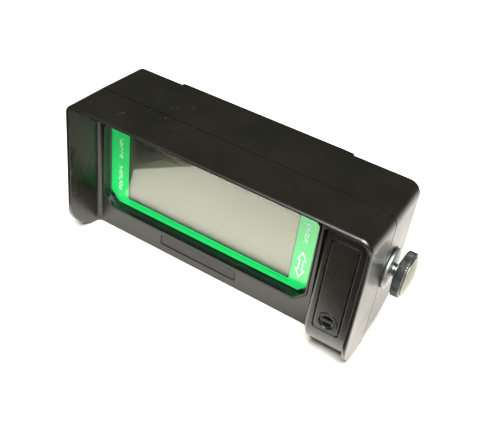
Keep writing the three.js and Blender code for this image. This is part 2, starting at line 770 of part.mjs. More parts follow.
// Pan-head screw whose head faces back from y, with its shank running forward.
function screw(x, y, z, headR, headT, shankR, length) {
  const head = turned(
    [[0, 0], [headR, 0], [headR, headT * 0.6], [headR * 0.7, headT], [0, headT]],
    [x, y, z],
    [0, 1, 0],
    20,
  );
  const shank = rod(shankR, [x, y - length, z], [0, 1, 0], length + headT * 0.3, 16);
  const long = headR * 0.6;
  const short = headR * 0.18;
  const y0 = y + headT * 0.55;
  const y1 = y + headT + 1;
  const across = block(x - long, x + long, y0, y1, z - short, z + short);
  const upright = block(x - short, x + short, y0, y1, z - long, z + long);
  return head.add(shank).subtract(across).subtract(upright);
}

function boardScrew(x, y, z, length) {
  return screw(x, y, z, SCREW_HEAD_R, SCREW_HEAD_T, SCREW_R, length);
}

boardBossSpots.forEach(([x, z], i) => {
  add(`lcd_board_screw_${i + 1}`, boardScrew(x, LCD_BOARD_BACK + SKIN_GAP, z, 8), STEEL);
});

// Hex spacers are swaged into the display board and carry the main board.
const hexPoints = (x, z, r) => Array.from({ length: 6 }, (_, i) => [
  x + r * Math.cos((i * Math.PI) / 3),
  z + r * Math.sin((i * Math.PI) / 3),
]);
spacerSpots.forEach(([x, z], i) => {
  const y0 = LCD_BOARD_BACK + SKIN_GAP;
  const spacer = prismY(hexPoints(x, z, SPACER_R), y0, MAIN_BOARD_Y - SKIN_GAP)
    .add(rod(SCREW_R + 0.2, [x, y0 - BOARD_T, z], [0, 1, 0], BOARD_T + 1, 16))
    .subtract(rod(SCREW_R + PILOT_CLEAR, [x, MAIN_BOARD_Y - 6, z], [0, 1, 0], 8, 16));
  add(`board_spacer_${i + 1}`, spacer, BRASS);
});

// ---------------------------------------------------------------- main board

let mainBoard = block(BOARD_X0, BOARD_X1, MAIN_BOARD_Y, MAIN_BOARD_BACK, MAIN_Z0, MAIN_Z1);
for (const [x, z] of spacerSpots) {
  mainBoard = mainBoard.subtract(rod(SCREW_R + HOLE_CLEAR, [x, MAIN_BOARD_Y - 1, z], [0, 1, 0], 5, 16));
}
add('main_board', mainBoard, BOARD_GREEN);
spacerSpots.forEach(([x, z], i) => {
  add(`main_board_screw_${i + 1}`, boardScrew(x, MAIN_BOARD_BACK + SKIN_GAP, z, 5), STEEL);
});

const ON_BOARD = MAIN_BOARD_BACK + SKIN_GAP;
function boardBlock({ x, z, w, h }, y0, y1) {
  return block(BOARD_X0 + x, BOARD_X0 + x + w, y0, y1, MAIN_Z0 + z, MAIN_Z0 + z + h);
}
function boardRod({ x, z, r, t }) {
  return rod(r, [BOARD_X0 + x, ON_BOARD, MAIN_Z0 + z], [0, 1, 0], t, 28);
}
add('processor', boardBlock(PROCESSOR, ON_BOARD, ON_BOARD + PROCESSOR.t), CHIP_BLACK);
add('memory_chip', boardBlock(MEMORY, ON_BOARD, ON_BOARD + MEMORY.t), CHIP_BLACK);
add('capacitor_large', boardRod(CAPACITOR_LARGE), [0x30343c, 0.4, 0]);
add('capacitor_small', boardRod(CAPACITOR_SMALL), [0x30343c, 0.4, 0]);
add('buzzer', boardRod(BUZZER).subtract(boardRod({
  ...BUZZER,
  r: BUZZER.hole,
  t: BUZZER.t + 1,
})), CHIP_BLACK);
let heatSink = boardBlock(HEAT_SINK, ON_BOARD, ON_BOARD + HEAT_SINK.t);
const finPitch = (HEAT_SINK.w - HEAT_SINK.finT) / (HEAT_SINK.fins - 1);
for (let i = 0; i < HEAT_SINK.fins; i += 1) {
  const fin = { ...HEAT_SINK, x: HEAT_SINK.x + i * finPitch, w: HEAT_SINK.finT };
  heatSink = heatSink.add(boardBlock(fin, ON_BOARD, ON_BOARD + HEAT_SINK.fin));
}
add('heat_sink', heatSink, [0x8e9294, 0.5, 1]);
add(
  'board_header',
  boardBlock(HEADER, LCD_BOARD_BACK + SKIN_GAP, MAIN_BOARD_Y - SKIN_GAP),
  CHIP_BLACK,
);

// ---------------------------------------------------------------- rear connector

const connectorFace = CASE_DEPTH + SKIN_GAP;
function dShape(grow) {
  const w = CONNECTOR_W / 2 + grow;
  const h = CONNECTOR_H / 2 + grow;
  return [
    [CONNECTOR_X - w, CONNECTOR_Z + h],
    [CONNECTOR_X - w + 1.4, CONNECTOR_Z - h],
    [CONNECTOR_X + w - 1.4, CONNECTOR_Z - h],
    [CONNECTOR_X + w, CONNECTOR_Z + h],
  ];
}
const connectorFlange = roundRect(
  CONNECTOR_X - JACK_SPAN - JACK_R - GAP,
  CONNECTOR_X + JACK_SPAN + JACK_R + GAP,
  CONNECTOR_Z - CONNECTOR_H / 2 - 1.9,
  CONNECTOR_Z + CONNECTOR_H / 2 + 1.9,
  1.5,
  3,
);
let connectorShell = prismY(connectorFlange, connectorFace, connectorFace + CONNECTOR_FLANGE_T)
  .add(prismY(dShape(CONNECTOR_SKIN), connectorFace, CASE_DEPTH + CONNECTOR_OUT))
  .subtract(prismY(dShape(0), 0, CASE_DEPTH + CONNECTOR_OUT + 1));
for (const side of PIVOT_SIDES) {
  const x = CONNECTOR_X + side * JACK_SPAN;
  const hole = rod(CASE_SCREW_R + 0.2, [x, CASE_DEPTH - 1, CONNECTOR_Z], [0, 1, 0], 5, 16);
  connectorShell = connectorShell.subtract(hole);
}
add('connector_shell', connectorShell, BRIGHT);

let connectorBody = prismY(dShape(-0.15), ON_BOARD, CASE_DEPTH + CONNECTOR_OUT - 0.6);
for (let row = 0; row < 2; row += 1) {
  const holes = row === 0 ? 8 : 7;
  for (let i = 0; i < holes; i += 1) {
    const x = CONNECTOR_X + (i - (holes - 1) / 2) * 2.5;
    const z = CONNECTOR_Z + (row === 0 ? 1.5 : -1.5);
    connectorBody = connectorBody.subtract(rod(0.6, [x, CASE_DEPTH, z], [0, 1, 0], 8, 8));
  }
}
add('connector_body', connectorBody, [0x232a33, 0.5, 0]);
PIVOT_SIDES.forEach((side) => {
  const x = CONNECTOR_X + side * JACK_SPAN;
  const seat = connectorFace + CONNECTOR_FLANGE_T + SKIN_GAP;
  const post = prismY(hexPoints(x, CONNECTOR_Z, JACK_R), seat, CASE_DEPTH + CONNECTOR_OUT - 0.2)
    .add(rod(CASE_SCREW_R, [x, BACK_INNER - 2, CONNECTOR_Z], [0, 1, 0], WALL + 4, 16))
    .subtract(rod(1.1, [x, CASE_DEPTH + 1.6, CONNECTOR_Z], [0, 1, 0], CONNECTOR_OUT, 12));
  add(side < 0 ? 'jack_post_left' : 'jack_post_right', post, STEEL);
});

// ---------------------------------------------------------------- plates

add('name_plate', prismY(roundRect(
  WINDOW_MID_X - PLATE_W / 2,
  WINDOW_MID_X + PLATE_W / 2,
  PLATE_Z,
  PLATE_Z + PLATE_H,
  0.6,
  2,
), PANEL_Y + PLATE_SINK, PANEL_Y + PLATE_SINK + PLATE_T), [0x2f302d, 0.45, 0]);
const ratingX1 = WIDTH - RATING_IN;
const ratingZ1 = HEIGHT - RATING_IN + RATING_H / 4;
add('rating_plate', prismY(
  roundRect(ratingX1 - RATING_W, ratingX1, ratingZ1 - RATING_H, ratingZ1, 1.5, 3),
  CASE_DEPTH + 0.02,
  CASE_DEPTH + 0.02 + RATING_T,
), [0xb8bab5, 0.5, 1]);

// ---------------------------------------------------------------- pillar control

add('pillar_insert', prismY(roundRect(
  PILLAR_MID - INSERT_W / 2,
  PILLAR_MID + INSERT_W / 2,
  INSERT_Z0,
  INSERT_Z1,
  2.1,
  3,
), PILLAR_FACE, PILLAR_FACE + INSERT_T)
  .subtract(rod(CONTROL_RING_R + STACK_GAP, [PILLAR_MID, 0, CONTROL_Z], [0, 1, 0], 20, 32)), BLACK_ABS);
add('control_ring', turned([
  [CONTROL_KNOB_R + CONTROL_CLEAR, INSERT_T],
  [CONTROL_KNOB_R + CONTROL_CLEAR, 0.1],
  [CONTROL_KNOB_R + CONTROL_CLEAR + 0.35, -0.3],
  [CONTROL_RING_R - 0.4, -0.3],
  [CONTROL_RING_R, 0],
  [CONTROL_RING_R, INSERT_T],
  [CONTROL_KNOB_R + CONTROL_CLEAR, INSERT_T],
], [PILLAR_MID, PILLAR_FACE, CONTROL_Z], [0, 1, 0], 32), BLACK_ABS);

// A dished disc with a finger bar across it, on a shaft into the potentiometer.
const KNOB_BACK = PILLAR_FACE + CONTROL_KNOB_T;
const dish = turned([
  [0, 1.5],
  [2.6, 1.35],
  [CONTROL_KNOB_R - 0.5, 0.2],
  [CONTROL_KNOB_R, 0.2],
  [CONTROL_KNOB_R, CONTROL_KNOB_T],
  [0, CONTROL_KNOB_T],
], [PILLAR_MID, PILLAR_FACE, CONTROL_Z], [0, 1, 0], 32);
const bar = block(
  PILLAR_MID - CONTROL_KNOB_R + 0.5,
  PILLAR_MID + CONTROL_KNOB_R - 0.5,
  PILLAR_FACE + 0.1,
  PILLAR_FACE + 2,
  CONTROL_Z - 0.9,
  CONTROL_Z + 0.9,
);
const shaft = rod(SHAFT_R, [PILLAR_MID, KNOB_BACK - 0.5, CONTROL_Z], [0, 1, 0], SHAFT_L + 0.5, 20);
add('dimmer_knob', dish.add(bar).add(shaft), KNOB_BLACK);

const potHole = rod(SHAFT_R + HOLE_CLEAR, [PILLAR_MID, POT_Y - 1, CONTROL_Z], [0, 1, 0], POT_T - 0.8, 20);
add('dimmer_pot', block(
  PILLAR_MID - POT_SIZE / 2,
  PILLAR_MID + POT_SIZE / 2,
  POT_Y,
  POT_Y + POT_T,
  CONTROL_Z - POT_SIZE / 2,
  CONTROL_Z + POT_SIZE / 2,
).subtract(potHole), [0x2d4f86, 0.5, 0]);
let controlBoard = block(
  PILLAR_MID - PEG_SPREAD - 3,
  PILLAR_MID + PEG_SPREAD + 3,
  CONTROL_BOARD_Y,
  CONTROL_BOARD_Y + BOARD_T,
  CONTROL_Z - 7,
  PEG_Z + 3,
);
for (const x of pegSpots) {
  const hole = rod(PEG_R + PILOT_CLEAR, [x, CONTROL_BOARD_Y - 1, PEG_Z], [0, 1, 0], 5, 12);
  controlBoard = controlBoard.subtract(hole);
}
add('control_board', controlBoard, BOARD_GREEN);

// ---------------------------------------------------------------- case screws

caseBossSpots.forEach(([x, z], i) => {
  const length = CASE_HEAD_Y - CASE_BOSS_END + 7;
  const solid = screw(x, CASE_HEAD_Y + SKIN_GAP, z, CASE_HEAD_R, CASE_HEAD_T, CASE_SCREW_R, length);
  add(`case_screw_${i + 1}`, solid, STEEL);
});

// ---------------------------------------------------------------- side pivots

for (const side of PIVOT_SIDES) {
  const tag = side < 0 ? 'left' : 'right';
  const face = pivotX(side);
  const out = [side, 0, 0];
  const at = (distance) => [face + side * distance, PIVOT_Y, PIVOT_Z];

  const insert = tube(PIVOT_INSERT_R, STUD_R + PILOT_CLEAR, at(-STUD_IN), out, STUD_IN - STACK_GAP, 32);
  add(`pivot_insert_${tag}`, insert, BRASS);
  add(`pivot_stud_${tag}`, turned([
    [0, 0],
    [STUD_R - 0.6, 0],
    [STUD_R, 0.6],
    [STUD_R, STUD_IN + THUMB_X + THUMB_T - 1.6],
    [STUD_R - 0.6, STUD_IN + THUMB_X + THUMB_T - 1],
    [0, STUD_IN + THUMB_X + THUMB_T - 1],
  ], at(-STUD_IN), out, 32), BRIGHT);
  add(`clamp_washer_${tag}`, turned([
    [STUD_R + STUD_CLEAR, SKIN_GAP],
    [WASHER_R - 0.5, SKIN_GAP],
    [WASHER_R, 0.5],
    [WASHER_R, WASHER_T - 0.5],
    [WASHER_R - 0.5, WASHER_T],
    [STUD_R + STUD_CLEAR, WASHER_T],
    [STUD_R + STUD_CLEAR, SKIN_GAP],
  ], at(0), out, 48), BRIGHT);
  add(`thrust_washer_${tag}`, tube(THRUST_R, STUD_R + STUD_CLEAR, at(THRUST_X), out, THRUST_T, 36), STEEL);

  let thumb = turned([
    [STUD_R + STUD_CLEAR, 0],
    [THUMB_R - 2, 0],
    [THUMB_R - 0.8, 0.7],
    [THUMB_R - 0.8, THUMB_T - 0.5],
    [THUMB_R - 1.4, THUMB_T],
    [0, THUMB_T],
    [0, THUMB_T - 0.7],
    [STUD_R + STUD_CLEAR, THUMB_T - 0.7],
    [STUD_R + STUD_CLEAR, 0],
  ], at(THUMB_X), out, 48);
  const ribs = [];
  for (let i = 0; i < THUMB_RIBS * 2; i += 1) {
    const angle = (i * Math.PI) / THUMB_RIBS;
    const radius = i % 2 === 0 ? THUMB_R : THUMB_R - RIB_DEPTH;
    ribs.push([PIVOT_Y + radius * Math.cos(angle), PIVOT_Z + radius * Math.sin(angle)]);
  }
  const ribX = [face + side * (THUMB_X + 0.8), face + side * (THUMB_X + THUMB_T - 0.6)];
  const knurl = prismX(ribs, Math.min(...ribX), Math.max(...ribX))
    .subtract(rod(THUMB_R - 2, at(-1), out, 40, 32));
  thumb = thumb.add(knurl);
  add(`thumb_knob_${tag}`, thumb, KNOB_BLACK);
  add(`knob_cap_${tag}`, turned([
    [0, 0],
    [THUMB_R - 1.6, 0],
    [THUMB_R - 1.6, 0.4],
    [THUMB_R - 5, CAP_T * 0.8],
    [0, CAP_T],
  ], at(THUMB_X + THUMB_T + 0.02), out, 40), [0xc9c7b8, 0.3, 1]);
}

export default group;
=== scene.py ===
# %% [markdown]
# # A hooded fare display, built round its CAD frame
# The real object is a moulded black housing that hangs between two thumb knobs on a dashboard.
# A hood shades a window with a green printed border, and a grey liquid crystal display lies behind it.
# The CAD model fixes every size. This lesson loads it, rebuilds the pieces that show with fine
# rounded edges, and gives every piece the finish of its real material.

import bmesh
import bpy
import math
from mathutils import Matrix, Vector


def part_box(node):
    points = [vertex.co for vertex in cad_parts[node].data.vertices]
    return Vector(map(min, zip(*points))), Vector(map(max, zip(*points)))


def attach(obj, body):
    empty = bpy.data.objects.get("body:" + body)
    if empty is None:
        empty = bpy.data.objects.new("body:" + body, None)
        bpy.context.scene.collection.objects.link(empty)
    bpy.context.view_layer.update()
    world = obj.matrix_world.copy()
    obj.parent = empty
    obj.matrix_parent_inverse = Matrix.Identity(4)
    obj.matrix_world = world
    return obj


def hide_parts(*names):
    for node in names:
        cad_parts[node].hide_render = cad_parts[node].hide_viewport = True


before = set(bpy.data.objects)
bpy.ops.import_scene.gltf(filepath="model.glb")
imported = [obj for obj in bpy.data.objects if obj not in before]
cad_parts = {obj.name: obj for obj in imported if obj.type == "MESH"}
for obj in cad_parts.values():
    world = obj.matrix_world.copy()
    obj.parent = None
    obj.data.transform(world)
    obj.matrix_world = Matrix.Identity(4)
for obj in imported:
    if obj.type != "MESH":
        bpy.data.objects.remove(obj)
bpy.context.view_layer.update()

# %% [markdown]
# ## Working in millimetres
# A housing is drawn most easily in millimetres from its own corner: x from the left side, y back
# from the hood's rim, z up from the underside. Booleans and bevels also behave better at that
# scale than in metres. One matrix moves a finished mesh into the frame, so its object can stay
# at the origin, unturned and unscaled, as the export wants.

# %% The matrix from housing millimetres to the frame
HOUSING_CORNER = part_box("front_shell")[0]
TO_FRAME = Matrix.Translation(HOUSING_CORNER) @ Matrix.Scale(0.001, 4)

WIDTH, HEIGHT, CASE_DEPTH = 200.0, 97.0, 70.3
CORNER_R, CORNER_LEFT_R, FOOT_R, WALL = 8.0, 4.8, 4.0, 2.6
FRONT_END, REAR_START = 31.35, 31.85
PANEL_Y, PANEL_BACK = 25.2, 27.6
PILLAR_X, PILLAR_FACE, RIM_T = 172.2, 3.0, 2.4
PILLAR_MID = PILLAR_X + (WIDTH - PILLAR_X - RIM_T) / 2
SKIRT_R = 26.0
print("housing corner in the frame:", list(HOUSING_CORNER))

# %% [markdown]
# ## Three ways to a closed solid
# Most moulded and turned pieces are one of three things: a skin through rings of points, an
# outline pushed along an axis, or a profile turned about an axis. Each function below makes a
# closed mesh whose faces point outwards, which is what booleans and the exporter need.

# %% Skins, prisms and turned solids
def link(name, bm):
    bmesh.ops.remove_doubles(bm, verts=bm.verts, dist=1e-4)
    bmesh.ops.recalc_face_normals(bm, faces=bm.faces)
    mesh = bpy.data.meshes.new(name)
    bm.to_mesh(mesh)
    bm.free()
    made = bpy.data.objects.new(name, mesh)
    bpy.context.scene.collection.objects.link(made)
    return made


def skin(name, rings, looped=False):
    bm = bmesh.new()
    rows = [[bm.verts.new(point) for point in ring] for ring in rings]
    steps = list(zip(rows, rows[1:]))
    if looped:
        steps.append((rows[-1], rows[0]))
    count = len(rows[0])
    for near, far in steps:
        for i in range(count):
            j = (i + 1) % count
            bm.faces.new((near[i], near[j], far[j], far[i]))
    if not looped:
        bm.faces.new(rows[0])
        bm.faces.new(rows[-1])
    return link(name, bm)


def prism(name, outline, axis, start, end):
    def place(a, b, c):
        return {"x": (c, a, b), "y": (a, c, b), "z": (a, b, c)}[axis]

    return skin(name, [[place(a, b, c) for a, b in outline] for c in (start, end)])


def block(name, low, high):
    (x0, y0, z0), (x1, y1, z1) = low, high
    return prism(name, [(x0, y0), (x1, y0), (x1, y1), (x0, y1)], "z", z0, z1)


def turned(name, profile, centre, axis, segments=64):
    spin = Vector((0, 0, 1)).rotation_difference(Vector(axis))
    bm = bmesh.new()
    rows = []
    closed = profile[0] == profile[-1]
    for radius, height in profile[:-1] if closed else profile:
        count = 1 if radius == 0 else segments
        row = []
        for i in range(count):
            angle = math.tau * i / segments
            arm = Vector((radius * math.cos(angle), radius * math.sin(angle), height))
            row.append(bm.verts.new(spin @ arm + Vector(centre)))
        rows.append(row)
    steps = list(zip(rows, rows[1:]))
    if closed:
        steps.append((rows[-1], rows[0]))
    for near, far in steps:
        for i in range(segments):
            j = (i + 1) % segments
            corners = [near[i % len(near)], near[j % len(near)], far[j % len(far)], far[i % len(far)]]
            corners = [v for k, v in enumerate(corners) if v not in corners[:k]]
            bm.faces.new(corners)
    return link(name, bm)


# %% Rounded outlines
def rounded_rectangle(x0, x1, z0, z1, radius, foot=None, left=None, steps=12):
    foot = radius if foot is None else foot
    left = radius if left is None else left
    corners = [
        (x1 - radius, z1 - radius, 0, radius),
        (x0 + left, z1 - left, 90, left),
        (x0 + foot, z0 + foot, 180, foot),
        (x1 - foot, z0 + foot, 270, foot),
    ]
    points = []
    for cx, cz, start, r in corners:
        for i in range(steps + 1):
            angle = math.radians(start + 90 * i / steps)
            points.append((cx + r * math.cos(angle), cz + r * math.sin(angle)))
    return points


def about(middle, half):
    return middle - half, middle + half


def slab(name, xs, zs, ys, *radii, steps=12):
    """A rounded rectangle in x and z, pushed from one y to the other."""
    return prism(name, rounded_rectangle(*xs, *zs, *radii, steps=steps), "y", *ys)


def quarter(steps=8):
    """A quarter round as pairs: how far it has come in, and how far it still has to go."""
    angles = [math.radians(90 * i / steps) for i in range(steps + 1)]
    return [(1 - math.cos(angle), 1 - math.sin(angle)) for angle in angles]


def softened(points, radius, steps=4):
    """An outline or profile whose corners are rounded, apart from the two ends of an open one."""
    closed = points[0] == points[-1]
    ring = points[:-1] if closed else points
    count = len(ring)
    result = []
    for i, corner in enumerate(ring):
        if not closed and i in (0, count - 1):
            result.append(corner)
            continue
        here = Vector(corner)
        before = Vector(ring[i - 1]) - here
        after = Vector(ring[(i + 1) % count]) - here
        reach = min(radius, before.length * 0.45, after.length * 0.45)
        start = here + before.normalized() * reach
        end = here + after.normalized() * reach
        for k in range(steps + 1):
            t = k / steps
            point = start * (1 - t) ** 2 + here * 2 * t * (1 - t) + end * t * t
            result.append((point.x, point.y))
    if closed:
        result.append(result[0])
    return result


# %% [markdown]
# ## Cutting, joining and easing edges
# An injection mould is cut by milling cutters, so no edge of a moulding is perfectly sharp. The
# shapes are combined with Boolean modifiers, whose Manifold solver keeps closed solids closed.
# Flat faces are merged again, and a Bevel modifier rounds each remaining edge. The result is kept
# as a plain mesh, which makes later steps fast.

# %% Booleans and rounded edges
def keep_result(body):
    graph = bpy.context.evaluated_depsgraph_get()
    mesh = bpy.data.meshes.new_from_object(body.evaluated_get(graph))
    old = body.data
    body.modifiers.clear()
    body.data = mesh
    bpy.data.meshes.remove(old)
    return body


def combine(body, operation, *others):
    for other in others:
        step = body.modifiers.new(operation, "BOOLEAN")
        step.operation = operation
        step.solver = "MANIFOLD"
        step.object = other
    keep_result(body)
    for other in others:
        bpy.data.objects.remove(other)
    return body


def rounded(body, width, segments=3, angle=30):
    weld = body.modifiers.new("weld", "WELD")
    weld.merge_threshold = 0.01
    flat = body.modifiers.new("merge flat faces", "DECIMATE")
    flat.decimate_type = "DISSOLVE"
    flat.angle_limit = math.radians(0.4)
    bevel = body.modifiers.new("eased edges", "BEVEL")
    bevel.width = width
    bevel.segments = segments
    bevel.limit_method = "ANGLE"
    bevel.angle_limit = math.radians(angle)
    bevel.use_clamp_overlap = False
    return keep_result(body)


def settled(body, sharp=38):
    """Smooth shading with weighted normals, and the mesh moved into the frame."""
    body.data.shade_smooth()
    body.data.set_sharp_from_angle(angle=math.radians(sharp))
    weighted = body.modifiers.new("weighted normals", "WEIGHTED_NORMAL")
    weighted.keep_sharp = True
    keep_result(body)
    body.data.transform(TO_FRAME)
    print(body.name, len(body.data.polygons), "faces")
    return body


def finished(made, ink, body, node_names=(), sharp=38):
    """Gives a piece its one finish, moves it into the frame, hangs it on the body it rides on and hides the CAD
    nodes it replaces.
    """
    made.data.materials.clear()
    made.data.materials.append(ink)
    settled(made, sharp)
    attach(made, body)
    if node_names:
        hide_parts(*node_names)
    return made


# %% [markdown]
# ## A node, and the start of a finish
# Every finish is a small node tree. One function adds a node with its settings and links, and
# another starts a material with its Principled shader. Colours are given as the hex values a
# painter would read off a swatch, and one function turns them into the linear values that a
# renderer adds and multiplies.

# %% Node helpers
def linear(swatch, alpha=1.0):
    values = [int(swatch[i:i + 2], 16) / 255 for i in (1, 3, 5)]
    return tuple(v / 12.92 if v <= 0.04045 else ((v + 0.055) / 1.055) ** 2.4 for v in values) + (alpha,)


def node(tree, kind, sockets=None, **settings):
    made = tree.nodes.new(kind)
    for key, value in settings.items():
        setattr(made, key, value)
    for key, value in (sockets or {}).items():
        if isinstance(value, bpy.types.NodeSocket):
            tree.links.new(value, made.inputs[key])
        else:
            made.inputs[key].default_value = value
    return made


def start_finish(name, **sockets):
    material = bpy.data.materials.new(name)
    material.use_nodes = True
    tree = material.node_tree
    tree.nodes.clear()
    shader = node(tree, "ShaderNodeBsdfPrincipled", {k.replace("_", " "): v for k, v in sockets.items()})
    node(tree, "ShaderNodeOutputMaterial", {"Surface": shader.outputs["BSDF"]})
    return material, tree, shader


# %% [markdown]
# ## A surface that isn't perfectly even
# Moulded, turned and printed surfaces share one habit: their colour wanders a little, their gloss
# wanders more, and a fine texture catches the light. This function adds those three to a shader
# from sizes in millimetres. Noise in Object coordinates keeps each pattern fixed to its piece.

# %% Wandering colour, wandering gloss and fine texture
def uneven(tree, shader, colours, gloss, grain_mm, depth_mm, patch_mm=30.0, stretch=(1, 1, 1), detail=3.0):
    where = node(tree, "ShaderNodeTexCoord").outputs["Object"]
    patch = node(tree, "ShaderNodeTexNoise", {"Vector": where, "Scale": 1000 / patch_mm, "Detail": 4.0})
    tint = node(tree, "ShaderNodeValToRGB", {"Fac": patch.outputs["Fac"]})
    tint.color_ramp.elements[0].position = 0.32
    tint.color_ramp.elements[1].position = 0.68
    tint.color_ramp.elements[0].color = linear(colours[0])
    tint.color_ramp.elements[1].color = linear(colours[1])
    tree.links.new(tint.outputs["Color"], shader.inputs["Base Color"])
    drawn = node(tree, "ShaderNodeMapping", {"Vector": where, "Scale": stretch})
    grain = node(tree, "ShaderNodeTexNoise", {"Vector": drawn.outputs[0], "Scale": 1000 / grain_mm,
                                              "Detail": detail})
    smudge = node(tree, "ShaderNodeTexNoise", {"Vector": where, "Scale": 1000 / (patch_mm * 0.4), "Detail": 2.0})
    mixed = node(tree, "ShaderNodeMath", {0: smudge.outputs["Fac"], 1: grain.outputs["Fac"]},
                 operation="MULTIPLY")
    rough = node(tree, "ShaderNodeMapRange", {"Value": mixed.outputs[0], "From Min": 0.12, "From Max": 0.4,
                                              "To Min": gloss[0], "To Max": gloss[1]})
    tree.links.new(rough.outputs["Result"], shader.inputs["Roughness"])
    bump = node(tree, "ShaderNodeBump", {"Height": grain.outputs["Fac"], "Distance": depth_mm / 1000,
                                         "Strength": 1.0})
    tree.links.new(bump.outputs["Normal"], shader.inputs["Normal"])
    return where, tint


def uneven_finish(name, *pattern, stretch=(1, 1, 1), **sockets):
    material, tree, shader = start_finish(name, **sockets)
    uneven(tree, shader, *pattern, stretch=stretch)
    return material


# %% [markdown]
# ## Finishes of the housing
# The shells are ABS, moulded against a spark-eroded steel face. That gives an even, fine pebble which spreads
# every highlight into a soft sheen. The real pebble is about 0.15 mm across; it is drawn at 0.45 mm so that it
# can be seen. Handling leaves pale scuffs, in patches scattered at random.

# %% Moulded black ABS
ABS_IOR = 1.53

shell_black, tree, shader = start_finish("moulded_black_abs", IOR=ABS_IOR, Specular_IOR_Level=0.58)
where, tint = uneven(tree, shader, ("#0b0b06", "#12110a"), (0.26, 0.35), 0.45, 0.008, 45.0)
drawn = node(tree, "ShaderNodeMapping", {"Vector": where, "Scale": (1.0, 0.22, 1.0), "Rotation": (0, 0, 0.5)})
scratch = node(tree, "ShaderNodeTexNoise", {"Vector": drawn.outputs[0], "Scale": 420.0, "Detail": 5.0,
                                            "Roughness": 0.62})
fine = node(tree, "ShaderNodeMapRange", {"Value": scratch.outputs["Fac"], "From Min": 0.62, "From Max": 0.72})
region = node(tree, "ShaderNodeTexNoise", {"Vector": where, "Scale": 16.0, "Detail": 2.0})
sparse = node(tree, "ShaderNodeMapRange", {"Value": region.outputs["Fac"], "From Min": 0.5, "From Max": 0.68,
                                           "To Max": 0.5})
scuff = node(tree, "ShaderNodeMath", {0: fine.outputs["Result"], 1: sparse.outputs["Result"]},
             operation="MULTIPLY")
worn = node(tree, "ShaderNodeMix", {"Factor": scuff.outputs[0], "A": tint.outputs["Color"],
                                    "B": linear("#6a6758")}, data_type="RGBA")
tree.links.new(worn.outputs["Result"], shader.inputs["Base Color"])

# %% [markdown]
# The reveal round the window and the small control are also black, but moulded against polished
# steel, so they mirror their surroundings along thin bright lines. The plates are a satin black.
# The thumb knobs are oxide-blacked steel, worn to a mid grey by fingers.

# %% Glossy and satin black plastics
bezel_black = uneven_finish(
    "polished_black_acetal", ("#080a09", "#0d100f"), (0.14, 0.22), 0.8, 0.001, 25.0, IOR=1.5)

plate_black = uneven_finish(
    "satin_black_plate", ("#080907", "#0e0f0c"), (0.26, 0.36), 0.3, 0.004, 18.0, IOR=1.5)

knob_black = uneven_finish(
    "black_oxide_steel", ("#6b6e6c", "#7f8280"), (0.32, 0.44), 0.35, 0.004, 5.0, Metallic=1.0)

# %% [markdown]
# ## Metals
# Washers are stamped from bright steel and tumbled, studs and screws are zinc plated, and the
# knob's domed cap is nickel plated. A metal's colour is the colour of its mirror image, so it is
# pale, and its roughness tells brushed, tumbled and plated surfaces apart. The cap is old nickel,
# so it is a greyer, slightly warm plating with a satin gloss.

# %% Steel, zinc, nickel, brass and aluminium
bright_steel = uneven_finish(
    "tumbled_bright_steel", ("#9da19f", "#b0b4b1"), (0.40, 0.52), 0.5, 0.003, 4.0, Metallic=1.0)

zinc_plate = uneven_finish(
    "zinc_plated_steel", ("#8b8f92", "#a8acab"), (0.24, 0.38), 0.3, 0.004, 3.0, Metallic=1.0)

nickel_plate = uneven_finish(
    "nickel_plated_cap", ("#6c6e63", "#7b7d72"), (0.30, 0.38), 0.6, 0.001, 8.0, Metallic=1.0)

turned_brass = uneven_finish(
    "turned_brass", ("#a8843f", "#c9a455"), (0.25, 0.4), 0.25, 0.005, 4.0, stretch=(1, 6, 1), Metallic=1.0)

drawn_aluminium = uneven_finish(
    "drawn_aluminium", ("#8d9193", "#aeb1b2"), (0.3, 0.5), 0.2, 0.006, 10.0, stretch=(1, 1, 0.08), Metallic=1.0)

brushed_aluminium = uneven_finish(
    "brushed_aluminium_plate", ("#a7aaa8", "#c3c6c2"), (0.3, 0.48), 0.16, 0.006, 14.0,
    stretch=(0.03, 1, 1), Metallic=1.0)

tinned_steel = uneven_finish(
    "tinned_spring_steel", ("#4a4d4d", "#63676a"), (0.32, 0.5), 0.5, 0.004, 12.0, Metallic=1.0)

# %% [markdown]
# ## Window, print and display
# The window is float glass: clear, faintly green, with an even polish. The border is screen printed in a
# fluorescent green behind it. The emission given to its ink, and to the white print, is a painted glow: it lifts
# the green where the hood shades it. The display is a grey cell in front of a metal reflector, seen through a
# satin polariser, so it is mostly metallic and blurs what it mirrors.

# %% Glass, printed inks with a painted glow, and the reflective display
window_clear, tree, shader = start_finish(
    "float_glass", Base_Color=linear("#f4fbf6"), Transmission_Weight=1.0, IOR=1.52)
where = node(tree, "ShaderNodeTexCoord").outputs["Object"]
film = node(tree, "ShaderNodeTexNoise", {"Vector": where, "Scale": 30.0, "Detail": 3.0})
haze = node(tree, "ShaderNodeMapRange", {"Value": film.outputs["Fac"], "From Min": 0.3, "From Max": 0.7,
                                         "To Min": 0.0, "To Max": 0.006})
tree.links.new(haze.outputs["Result"], shader.inputs["Roughness"])

# Painted glow: the green ink emits light, which lifts it where the hood shades it.
green_ink_painted_glow, tree, shader = start_finish("screen_printed_green_painted_glow", IOR=1.45, Emission_Strength=1.3)
where, tint = uneven(tree, shader, ("#0a9a48", "#0fa551"), (0.45, 0.6), 0.3, 0.002, 60.0)
tree.links.new(tint.outputs["Color"], shader.inputs["Emission Color"])

# Painted glow: the white print emits a little light of its own.
white_ink_painted_glow, tree, shader = start_finish("screen_printed_white_painted_glow", IOR=1.45, Emission_Strength=0.3,
                                          Emission_Color=linear("#e8fff0"))
uneven(tree, shader, ("#e2f7e8", "#f4fff7"), (0.45, 0.6), 0.3, 0.002, 12.0)

